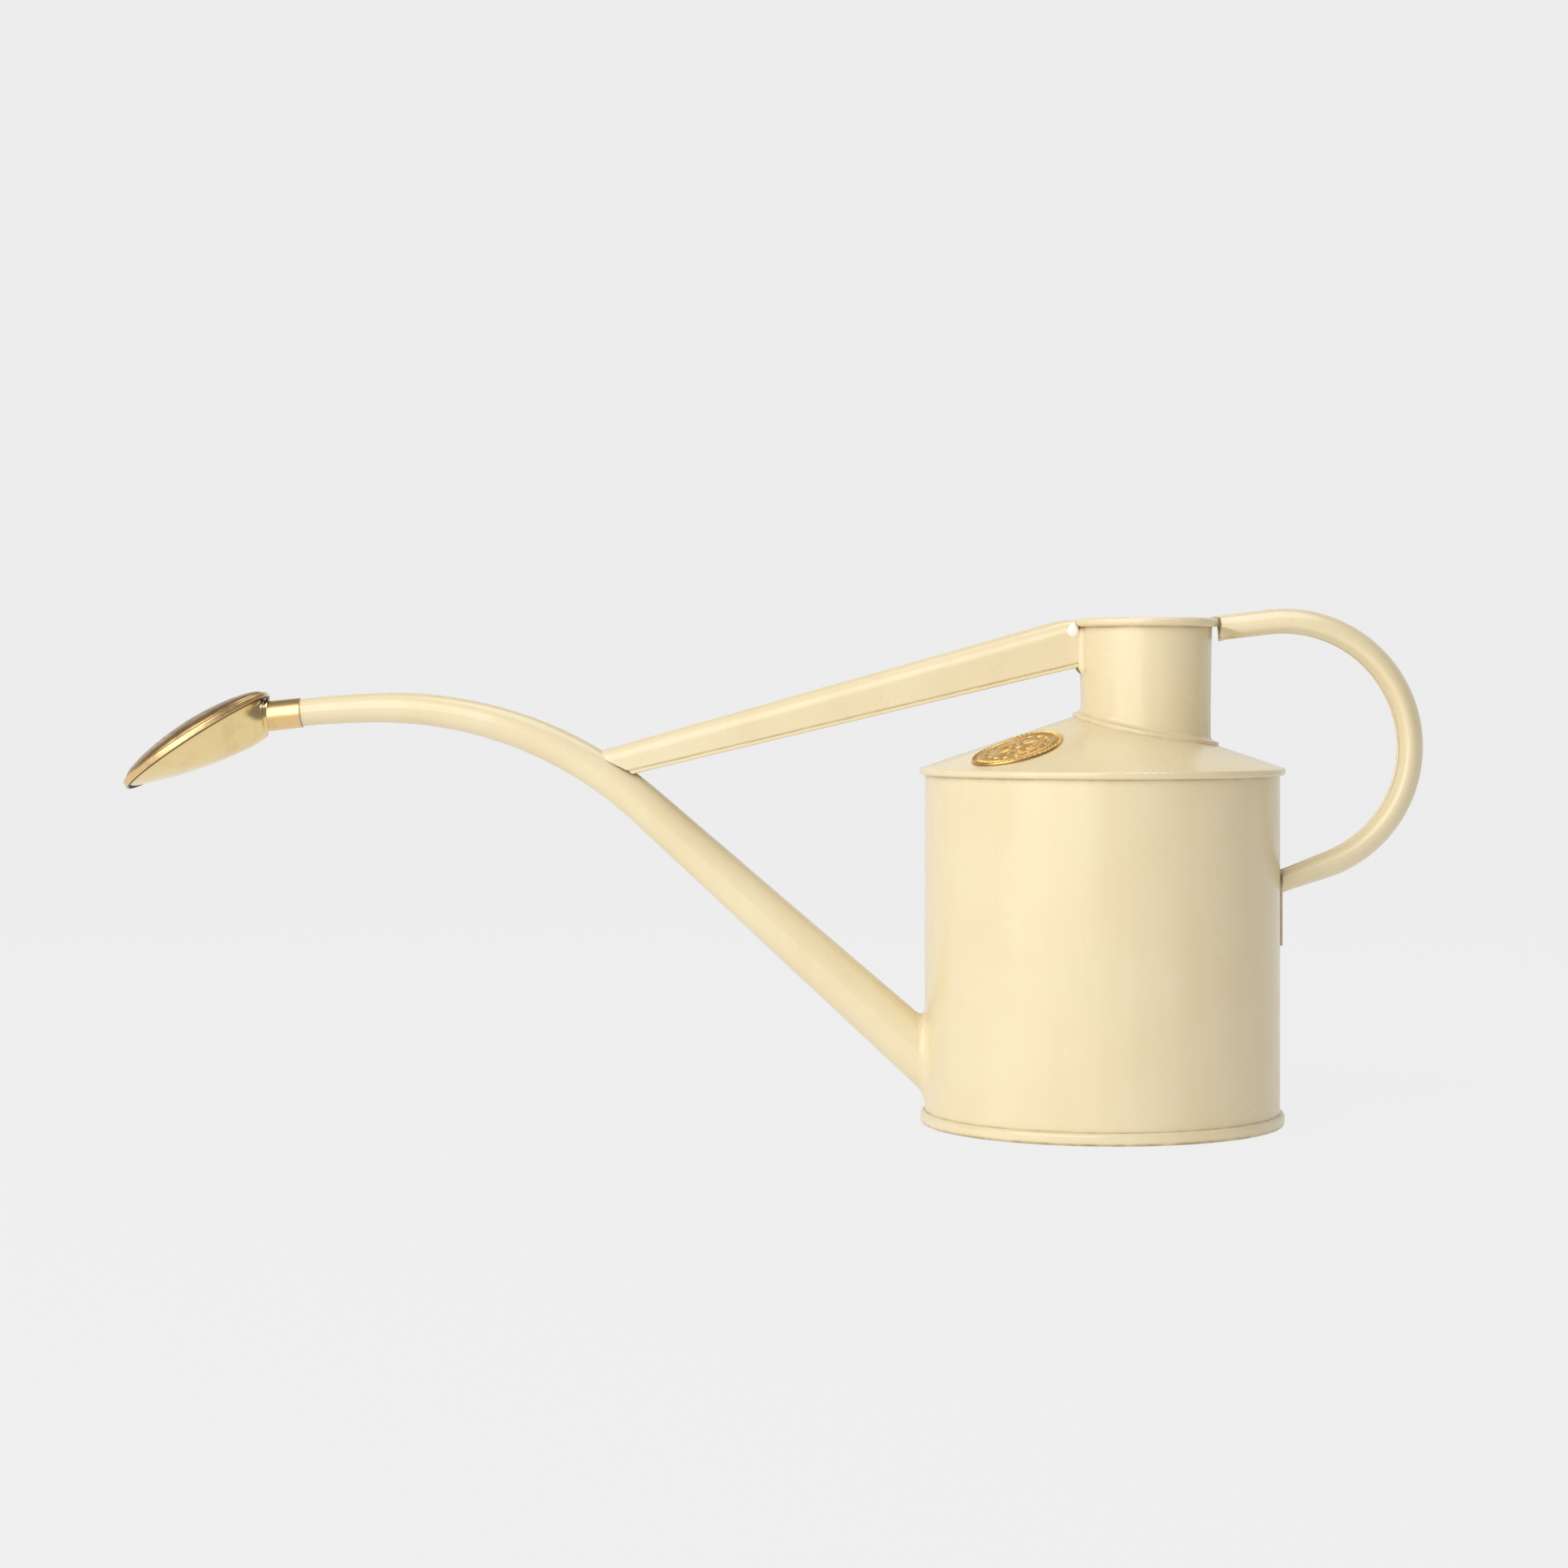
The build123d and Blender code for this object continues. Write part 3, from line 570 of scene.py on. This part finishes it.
def neck_radius(z):
    """Radius of the neck's outside by its rim, with the curl."""
    if z < CURL_Z - CURL_R:
        return NECK_TOP_R
    return CURL_CENTRE_R + math.sqrt(max(0.0, CURL_R**2 - max(0.0, z - CURL_Z) ** 2))


def settled(point):
    """Bend the stay's back down at the neck, level with the rolled rim."""
    over = point[2] - (NECK_TOP - STAY_SETTLE_START)
    return point - np.array((0.0, 0.0, STAY_SETTLE * over)) if over > 0 else point


def stay():
    """The rolled channel from the neck to the spout, its ends cut to fit both."""
    def outline_at(x):
        """Points round the stay's section at x, before its ends are cut."""
        top = STAY_REF_TOP + STAY_TOP_RISE * (x - STAY_REF_X)
        low = STAY_REF_BOTTOM + STAY_BOTTOM_RISE * (x - STAY_REF_X)
        share = (x - STAY_LEFT_X) / (STAY_RIGHT_X - STAY_LEFT_X)
        width = STAY_LEFT_WIDTH + (STAY_RIGHT_WIDTH - STAY_LEFT_WIDTH) * share
        section = stay_section(width, top - low)
        return [np.array((x, side, (top + low) / 2 + height)) for side, height in section]

    columns = []
    for left, right in zip(outline_at(STAY_LEFT_X), outline_at(STAY_RIGHT_X)):
        line = right - left
        gap = STAY_SEAT * ease((STAY_SEAT_TOP - left[2]) / STAY_SEAT_RUN)
        inside = [k / 400 for k in range(90) if above_spout(left + line * k / 400) < gap]
        near = inside[-1] if inside else 0.0
        far = near + 1 / 400
        for _ in range(12):
            middle = (near + far) / 2
            near, far = (middle, far) if above_spout(left + line * middle) < gap else (near, middle)
        reach = neck_radius(right[2]) - STAY_END_SUNK
        end_x = NECK_X - math.sqrt(reach**2 - right[1] ** 2)
        end = left + line * (end_x - left[0]) / line[0]
        start = left + line * near
        columns.append([start + (end - start) * share for share in np.linspace(0, 1, 61)])
    rows = [[settled(point) for point in row] for row in zip(*columns)]
    fit(channel("stay_channel", rows), "can", "cream_enamel", 40, "stay_brace")


def stay_solder():
    """Solder in the corners between the stay's sides and the neck."""
    for name, side, node in (("near", -1, "stay_neck_solder"), ("far", 1, None)):
        rows = []
        for share in np.linspace(0, 1, 57):
            z = STAY_SOLDER_LOW + STAY_SOLDER_RUN * share
            half = STAY_RIGHT_WIDTH / 2 * math.sqrt(1 - 0.8 * ease((share - 0.74) / 0.4) ** 2)
            reach = STAY_SOLDER * (1.0 + 0.07 * math.sin(7 * share + side)) * ease(share / 0.16 + 0.15)
            turn = math.asin(half / NECK_TOP_R)
            corner = np.array((NECK_X - NECK_TOP_R * math.cos(turn), side * half, z))
            past = turn + reach / NECK_TOP_R
            wall_r = NECK_TOP_R - SUNK
            on_neck = np.array((NECK_X - wall_r * math.cos(past), side * wall_r * math.sin(past), z))
            on_stay = corner + np.array((-reach, -side * SUNK, 0.0))
            bend = corner + np.array((-HOLLOW, side * HOLLOW, 0.0))
            ring = solder_curve(on_stay, bend, on_neck, 13)
            inwards, under = np.array((SHEET / 2, 0.0, 0.0)), np.array((0.0, -side * SHEET / 2, 0.0))
            rows.append(ring + [on_neck + inwards, corner + inwards + under, on_stay + under])
        fit(fan("stay_solder_run_" + name, rows), "can", "cream_enamel", 60, node)


def stay_solder_drop():
    """The drop of solder left at the stay's side by the neck, in near-white enamel: a painted highlight."""
    middle = np.array(STAY_DROP_PLACE)
    lean, out = unit((0.2, 0.0, 1.0)), np.array((0.0, -1.0, 0.0))
    across = np.cross(lean, out)
    rows = []
    for i in range(1, 28):
        height = math.cos(math.pi * i / 28)
        swell = math.sin(math.pi * i / 28) * (1.0 - 0.22 * height)
        row = []
        for turn in full_turn(40):
            wide = across * STAY_DROP_HALF_WIDTH * math.cos(turn)
            proud = out * STAY_DROP_PROUD * math.sin(turn)
            row.append(middle + lean * STAY_DROP_HALF_LENGTH * height + (wide + proud) * swell)
        rows.append(row)
    # the drop's near-white enamel is a painted highlight
    fit(fan("stay_solder_drop", rows), "can", "cream_enamel", 60, finish="painted_glint_enamel")


# ---- the handle ----

HANDLE_END_ROWS = 24            # sections along its straight open end, where the dent is


def handle_line(step=1.0 * MM):
    """Points and directions along the handle's middle from the neck to the can's wall."""
    centre = np.array(HANDLE_CENTRE)
    first = centre + heading(HANDLE_TOP_ANGLE) * HANDLE_R
    angle = HANDLE_TOP_ANGLE - math.pi / 2
    run = (first[0] - HANDLE_END_X) / math.cos(angle)
    shares = np.linspace(0, 1, HANDLE_END_ROWS)[:-1]
    places = [(first - heading(angle) * run * (1 - share), angle) for share in shares]
    count = round(HANDLE_R * (HANDLE_TOP_ANGLE - HANDLE_LOW_ANGLE) / step)
    for where in np.linspace(HANDLE_TOP_ANGLE, HANDLE_LOW_ANGLE, count):
        places.append((centre + heading(where) * HANDLE_R, where - math.pi / 2))
    last, angle = places[-1]
    places += [(last + heading(angle) * k * step, angle) for k in range(1, round(HANDLE_FOOT_RUN / step))]
    return places


def handle_section(width, depth, steps=56):
    """The rolled section as a closed outline of (side, inward): an oval sheet, open inwards."""
    lip = math.asin(HANDLE_SLOT / width)
    half, deep = width / 2 * HANDLE_EGG_FIT, depth / 2

    def side_of_sheet(inset):
        """Points from lip to lip, inset from the handle's outside."""
        points = []
        for k in range(steps + 1):
            turn = lip + (2 * math.pi - 2 * lip) * k / steps
            egg = math.sin(turn) * (1 + HANDLE_EGG * math.cos(turn))
            points.append(((half - inset) * egg, (deep - inset) * math.cos(turn)))
        return points

    return side_of_sheet(0.0) + side_of_sheet(HANDLE_WALL)[::-1]


def dented(point):
    """Press the handle's lower sides in beside its open end, with a slanting fold above."""
    x, side, z = point / MM
    off_fold = (z - (DENT_FOLD_Z - DENT_FOLD_SLOPE * (x - DENT_X))) * 0.94
    below_fold = ease((0.9 - off_fold) / 2.0) * (1 - 0.55 * ease((-off_fold - 1.8) / 1.6))
    near_end = 1 - ease((x - DENT_X - 2.5) / 7.5)
    off_middle = ease((abs(side) - 2.4) / 2.2)
    depth = HANDLE_DENT * below_fold * near_end * off_middle
    lip = DENT_LIP * bell(x - DENT_X, 1.4) * ease((DENT_LIP_Z - z) / 2.5)
    return point - np.array((0.0, math.copysign(depth, side), lip))


def handle():
    """The looped handle: an oval rolled channel from the neck's rim down to the can's wall."""
    places = handle_line()
    wall_r = BODY_R + HANDLE_WALL
    rows, angles = [], []
    for number, (point, angle) in enumerate(places):
        share = number / (len(places) - 1)
        depth = HANDLE_DEPTH + (HANDLE_FOOT_DEPTH - HANDLE_DEPTH) * ease((share - 0.87) / 0.13)
        inward = heading(angle * ease(number / 12) - math.pi / 2)
        row = []
        for side, inwards in handle_section(HANDLE_WIDTH, depth):
            spot = point + inward * inwards + np.array((0.0, side, 0.0))
            row.append(dented(spot) if number < HANDLE_END_ROWS else spot)
        if share < 0.5 or min(math.hypot(spot[0], spot[1]) for spot in row) > wall_r + 0.3 * MM:
            rows.append(row)
            angles.append(angle)
    direction = heading(angles[-1])
    foot = []
    for corner in rows[-1]:
        a, b = direction[0] ** 2, corner[0] * direction[0]
        c = corner[0] ** 2 + corner[1] ** 2 - wall_r**2
        foot.append(corner + direction * (-b - math.sqrt(b * b - a * c)) / a)
    fit(channel("handle_channel", rows + [foot]), "can", "cream_enamel", 45, "handle")


def handle_tongue():
    """The handle's tongue, bent over the neck's curl."""
    curl = np.array((NECK_X + CURL_CENTRE_R, 0.0, CURL_Z))
    line = []
    for x in (42.0, 40.5, 39.0, 37.5):
        line.append((np.array((x, 0.0, TONGUE_Z + TONGUE_SLOPE * (x - DENT_X))) * MM, 1.0))
    for turn in range(70, 151, 10):
        line.append((curl + heading(math.radians(turn)) * (CURL_R + HANDLE_WALL / 2), 0.0))
    rows = []
    for i, (point, bowed) in enumerate(line):
        before, after = line[max(0, i - 1)][0], line[min(len(line) - 1, i + 1)][0]
        along = unit(after - before)
        up = np.array((along[2], 0.0, -along[0]))
        half = TONGUE_WIDTH / 2 * (1 - 0.3 * ease((i - 8) / 4))
        thick = HANDLE_WALL / 2
        section = rounded([
            (-half, -thick, 0.1 * MM), (half, -thick, 0.1 * MM),
            (half, thick, 0.3 * MM), (-half, thick, 0.3 * MM),
        ], 4)
        row = []
        for side, height in section:
            sag = bowed * HANDLE_DEPTH / 2 * (1 - math.sqrt(1 - (2 * side / HANDLE_WIDTH) ** 2))
            row.append(point + up * (height - sag - bowed * 0.1 * MM) + np.array((0.0, side, 0.0)))
        rows.append(row)
    fit(fan("handle_tongue", rows), "can", "cream_enamel", 50)


# ---- the badge ----


def badge_relief(reach, turn):
    """Height in mm of the badge's stamped face, from its middle (reach 0) to its edge (reach 1)."""
    border = 0.32 * ease((reach - 0.83) / 0.04) * ease((1.0 - reach) / 0.03)
    strands = math.cos(52 * turn + 24 * (reach - 0.9))
    rope = 0.16 * strands * ease((reach - 0.85) / 0.03) * ease((0.99 - reach) / 0.03)
    lines = 0.16 * bell(reach - 0.79, 0.014) + 0.16 * bell(reach - 0.55, 0.014)
    leaf = max(0.0, math.cos(16 * turn + 11 * (reach - 0.67))) ** 0.8
    leaves = 0.34 * leaf * bell(reach - 0.67, 0.062)
    petal = abs(math.cos(4 * turn))
    petals = 0.40 * petal**0.5 * ease((0.50 - reach) / 0.12) * ease((reach - 0.12) / 0.08)
    vein = 0.12 * bell(1 - petal, 0.02) * ease((0.46 - reach) / 0.1) * ease((reach - 0.18) / 0.06)
    boss = 0.45 * ease((0.16 - reach) / 0.09)
    return border + rope + lines + leaves + petals - vein + boss


def badge():
    """The oval brass badge, stamped with a rope border, a ring of leaves and a rosette."""
    tilt, turn = SHOULDER_SLOPE, BADGE_AZIMUTH
    radial = np.array((math.cos(turn), math.sin(turn), 0.0))
    upright = np.array((0.0, 0.0, 1.0))
    normal = math.sin(tilt) * radial + math.cos(tilt) * upright
    uphill = math.sin(tilt) * upright - math.cos(tilt) * radial
    across = np.cross(normal, uphill)
    height = SHOULDER_Z + (SHOULDER_REF_R - BADGE_RADIUS) * math.tan(tilt)
    middle = BADGE_RADIUS * radial + height * upright

    def ring(reach, rise=None):
        """Points round the badge at a share of its size; its stamped face where no rise is given."""
        row = []
        for angle in full_turn(480):
            x = BADGE_LENGTH / 2 * reach * math.cos(angle)
            y = BADGE_WIDTH / 2 * reach * math.sin(angle)
            sag = y * y * math.sin(tilt) / (2 * (BADGE_RADIUS - x * math.cos(tilt)))
            up = BADGE_THICKNESS + badge_relief(reach, angle) * MM if rise is None else rise
            row.append(middle + uphill * x + across * y + normal * (up - sag))
        return row

    rows = [ring(i / 110) for i in range(1, 111)]
    rows += [ring(1.003, 0.5 * BADGE_THICKNESS)]
    rows += [ring(reach, -BADGE_SUNK) for reach in (1.003, 0.7, 0.35, 0.02)]
    fit(fan("badge_plate", rows), "can", "badge_brass", 60, "badge")


# ---- the rose ----

ROSE_MIDDLE = (np.array(ROSE_REAR) + np.array(ROSE_FRONT)) / 2
ROSE_HALF_LENGTH = math.dist(ROSE_REAR, ROSE_FRONT) / 2
ROSE_ALONG = unit(np.array(ROSE_REAR) - np.array(ROSE_FRONT))
ROSE_SIDE = np.array((0.0, 1.0, 0.0))
ROSE_NORMAL = np.cross(ROSE_ALONG, ROSE_SIDE)


def rim_point(turn, out, height):
    """A point by the rose's rim: out from its oval, and above the rim's plane, on the face's side."""
    c, s = math.cos(turn), math.sin(turn)
    outwards = unit(ROSE_ALONG * ROSE_HALF_WIDTH * c + ROSE_SIDE * ROSE_HALF_LENGTH * s)
    place = ROSE_MIDDLE + ROSE_ALONG * ROSE_HALF_LENGTH * c + ROSE_SIDE * ROSE_HALF_WIDTH * s
    return place + outwards * out + ROSE_NORMAL * height


def back_point(turn, radius, distance, drop=ROSE_BACK_DROP):
    """A point round the rose's back, at a distance out from where the back starts."""
    height = radius * math.cos(turn) - drop
    distance += ROSE_BACK_GAP - ROSE_BACK_LEAN * height
    return TIP + TIP_AXIS * distance + TIP_UP * height + ROSE_SIDE * radius * math.sin(turn)


def pushed_on(piece):
    """Turn a piece of the rose about the spout's tip to the angle it is pushed on at."""
    to_tip = Matrix.Translation(Vector(TIP))
    piece.data.transform(to_tip @ Matrix.Rotation(ROSE_ROLL, 4, Vector(TIP_AXIS)) @ to_tip.inverted())
    return piece


def band_height(turn, height):
    """A height on the band, which is slimmer at the rose's rear than at its front."""
    return height * (0.92 - 0.14 * math.cos(turn))


def rose_shell():
    """The bellied underside of the rose: a sheet from its round back to its oval rim."""
    turns = full_turn(180)

    def side_of_sheet(inset):
        """Rows from the crimp round the back to the rim, inset from the shell's outside."""
        rows = []
        for distance, radius in ((0.34, 5.5), (0.38, 5.75), (0.55, 6.02), (0.85, 6.18)):
            rows.append([back_point(turn, radius * MM - inset, distance * MM + inset) for turn in turns])
        for share in np.linspace(0, 1, 40):
            row = []
            for turn in turns:
                c, s = math.cos(turn), math.sin(turn)
                start = back_point(turn, 6.22 * MM - inset, 1.1 * MM)
                end = rim_point(turn, -1.25 * MM - inset, (-0.6 - 0.15 * (1 - c)) * MM + inset)
                sideways = (ROSE_ALONG * 0.42 * c + ROSE_SIDE * 0.8 * s) * max(abs(c), abs(s))
                outwards = unit(sideways - ROSE_NORMAL * (0.55 + 0.35 * c * c))
                swell = (ROSE_BELLY - inset) * ((1 - c) / 2) ** 0.75 * math.sin(math.pi * share**0.9) ** 0.8
                row.append(start + (end - start) * share + outwards * swell)
            rows.append(row)
        rows.append([rim_point(turn, -0.85 * MM - inset, 0.1 * MM) for turn in turns])
        return rows

    rows = side_of_sheet(0.0) + side_of_sheet(ROSE_SHEET)[::-1]
    shell = pushed_on(skin("rose_shell_sheet", rows, wrap_rows=True))
    fit(shell, "rose", "rose_brass", 60, "rose_shell")


def rose_rim():
    """The band crimped over the edges of the shell and the face."""
    section = rounded([
        (-0.95 * MM, -1.1 * MM, 0.1 * MM), (0.0, -1.1 * MM, 0.35 * MM), (0.0, 1.1 * MM, 0.6 * MM),
        (-1.3 * MM, 1.1 * MM, 0.2 * MM), (-1.3 * MM, 0.75 * MM, 0.12 * MM), (-0.8 * MM, 0.6 * MM, 0.12 * MM),
    ])
    rows = []
    for turn in full_turn(240):
        rows.append([rim_point(turn, out, band_height(turn, height)) for out, height in section])
    band = pushed_on(skin("rose_rim_band", rows, wrap_rows=True))
    fit(band, "rose", "rose_brass", 60, "rose_rim", "warm_brass")


def rose_crimp_shadows():
    """Dark beads in the crimps above and below the band: a painted shadow along the band's edges."""
    for name, out, height, size in (("upper", -1.25, 1.14, 0.22), ("lower", -0.62, -1.16, 0.30)):
        rows = []
        for turn in full_turn(240):
            row = []
            for round_bead in full_turn(12):
                bead_out = out + size * math.cos(round_bead)
                bead_height = band_height(turn, height) + 0.7 * size * math.sin(round_bead)
                row.append(rim_point(turn, bead_out * MM, bead_height * MM))
            rows.append(row)
        # each bead is a painted shadow under or over the band
        bead = pushed_on(skin("rose_crimp_shadow_" + name, rows, wrap_rows=True))
        fit(bead, "rose", "rose_brass", 60, finish="painted_crimp_shadow")


def rose_back():
    """The dished plate that closes the back, with a fillet of solder round the socket."""
    section = [
        (6.1, 0.66), (5.6, 0.52), (5.25, 0.36), (5.0, 0.05), (4.85, -0.45), (4.74, -0.7),
        (4.66, -0.7), (4.66, 0.95), (5.3, 0.95), (6.0, 0.95),
    ]
    rows = []
    for turn in full_turn(120):
        row = []
        for radius, distance in section:
            drop = ROSE_BACK_DROP * ease((radius - 4.85) / 0.9)
            row.append(back_point(turn, radius * MM, distance * MM, drop))
        rows.append(row)
    plate = pushed_on(skin("rose_back_plate", rows, wrap_rows=True))
    fit(plate, "rose", "rose_brass", 50, "rose_back")


def on_face(x, y, height):
    """A point over the rose's rim: along its length, across it, and above the rim's plane."""
    return ROSE_MIDDLE + ROSE_ALONG * x + ROSE_SIDE * y + ROSE_NORMAL * height


def spray_holes(squeeze, sides=16):
    """Pins through the face where its holes go: one in the middle and rings of 6, 12, 18 and so on."""
    points, faces = [], []
    for ring in range(ROSE_HOLE_RINGS + 1):
        for turn in full_turn(max(1, 6 * ring)):
            x = ring * ROSE_HOLE_SPACING * math.cos(turn)
            y = ring * ROSE_HOLE_SPACING * math.sin(turn) * squeeze
            low = len(points)
            high = low + sides
            for height in (-1.0 * MM, 9.0 * MM):
                for corner in full_turn(sides):
                    out, across = ROSE_HOLE_R * math.cos(corner), ROSE_HOLE_R * math.sin(corner)
                    points.append(on_face(x + out, y + across, height))
            for k in range(sides):
                after = (k + 1) % sides
                faces.append((low + k, low + after, high + after, high + k))
            faces += [tuple(range(high - 1, low - 1, -1)), tuple(range(high, high + sides))]
    return add_mesh("spray_holes", points, faces)


def rose_face():
    """The domed face, full at its shoulders, with its spray holes punched through."""
    long_half, wide_half = ROSE_HALF_LENGTH - ROSE_FACE_INSET, ROSE_HALF_WIDTH - ROSE_FACE_INSET
    turns = full_turn(144)
    reaches = [math.sin(math.pi / 2 * k / 48) for k in range(1, 49)]

    def ring(reach, sink):
        """Points round the dome at a share of its size, sunk below its outside."""
        rise = ROSE_FACE_SEAT + ROSE_FACE_DOME * (1 - reach**2)
        rise += ROSE_FACE_SHOULDER * math.sqrt(max(0.0, 1 - reach**12))
        long, wide = (long_half - sink) * reach, (wide_half - sink) * reach
        return [on_face(long * math.cos(turn), wide * math.sin(turn), rise * MM - sink) for turn in turns]

    rows = [ring(reach, 0.0) for reach in reaches]
    rows += [ring(reach, ROSE_FACE_SHEET) for reach in reversed(reaches)]
    face = fan("rose_face_dome", rows)
    cut(face, spray_holes(wide_half / long_half))
    fit(pushed_on(face), "rose", "rose_face_brass", 40, "rose_face")


spout_root_solder()
stay()
stay_solder()
stay_solder_drop()
handle()
handle_tongue()
badge()
rose_shell()
rose_rim()
rose_crimp_shadows()
rose_back()
rose_face()


# ---- stage, light and camera ----

CAMERA_PLACE = (-0.08306, -1.0295, 0.1362)
LENS = 76.0
SHIFT = (-0.0323, -0.0638)
WORLD_GREY = 0.24
BACKDROP_GLOW = 0.868           # strength of the backdrop's own light
BACKDROP_SHADED = 0.06          # share of its surface that takes light and shadow
BACKDROP_REACH, BACKDROP_BEND, BACKDROP_WALL_Y, BACKDROP_WALL_TOP = 9.0, 0.8, 2.6, 2.2


def backdrop():
    """A pale floor that curves up into a wall behind, lit evenly so that no horizon shows."""
    bend, bend_start = BACKDROP_BEND, BACKDROP_WALL_Y - BACKDROP_BEND
    profile = [(-BACKDROP_REACH, 0.0), (bend_start, 0.0)]
    for k in range(1, 17):
        turn = math.radians(90) * k / 16
        profile.append((bend_start + bend * math.sin(turn), bend - bend * math.cos(turn)))
    profile.append((BACKDROP_WALL_Y, BACKDROP_WALL_TOP))
    rows = [[(-BACKDROP_REACH, y, z), (BACKDROP_REACH, y, z)] for y, z in profile]
    sheet = skin("backdrop", rows, wrap_columns=False)
    sheet.data.shade_smooth()
    paper = Finish("backdrop_paper")
    grain = paper.ramp(paper.noise(0.004, detail=4), 0.3, 0.7)
    tone = paper.blend(grain, colour(0.80, 0.80, 0.80), colour(0.82, 0.82, 0.82))
    paper.set(Base_Color=tone, Roughness=0.9)
    glow = paper.add("ShaderNodeEmission", {"Color": colour(1, 1, 1), "Strength": BACKDROP_GLOW})
    mixed = paper.add("ShaderNodeMixShader", {"Fac": BACKDROP_SHADED})
    paper.feed(mixed.inputs[1], glow.outputs[0])
    paper.feed(mixed.inputs[2], paper.shader.outputs[0])
    paper.feed(paper.tree.nodes["Material Output"].inputs["Surface"], mixed.outputs[0])
    sheet.data.materials.append(paper.material)


def softbox(name, place, target, size, power):
    """A square area light at place, facing target."""
    lamp = bpy.data.lights.new(name, "AREA")
    lamp.shape = "SQUARE"
    lamp.size = size
    lamp.energy = power
    light = bpy.data.objects.new(name, lamp)
    light.location = place
    light.rotation_euler = (Vector(target) - Vector(place)).to_track_quat("-Z", "Y").to_euler()
    bpy.context.scene.collection.objects.link(light)


def studio():
    """The world's soft light, a large softbox, a weak one above, the backdrop and the camera."""
    scene = bpy.context.scene
    scene.view_settings.view_transform = "Standard"
    world = bpy.data.worlds.new("studio")
    world.use_nodes = True
    sky = world.node_tree.nodes["Background"]
    sky.inputs["Color"].default_value = colour(WORLD_GREY, WORLD_GREY, WORLD_GREY)
    sky.inputs["Strength"].default_value = 1.0
    scene.world = world
    softbox("key", (-1.05, -1.40, 0.95), (-0.05, 0.0, 0.10), 2.1, 40.0)
    softbox("top", (0.15, 0.15, 1.30), (0.0, 0.0, 0.10), 0.8, 5.0)
    backdrop()
    camera = bpy.data.objects.new("camera", bpy.data.cameras.new("camera"))
    camera.location = CAMERA_PLACE
    camera.rotation_euler = (math.radians(90), 0.0, 0.0)
    camera.data.sensor_width = 36.0
    camera.data.lens = LENS
    camera.data.shift_x, camera.data.shift_y = SHIFT
    camera.data.clip_end = 20.0
    scene.collection.objects.link(camera)
    scene.camera = camera


studio()
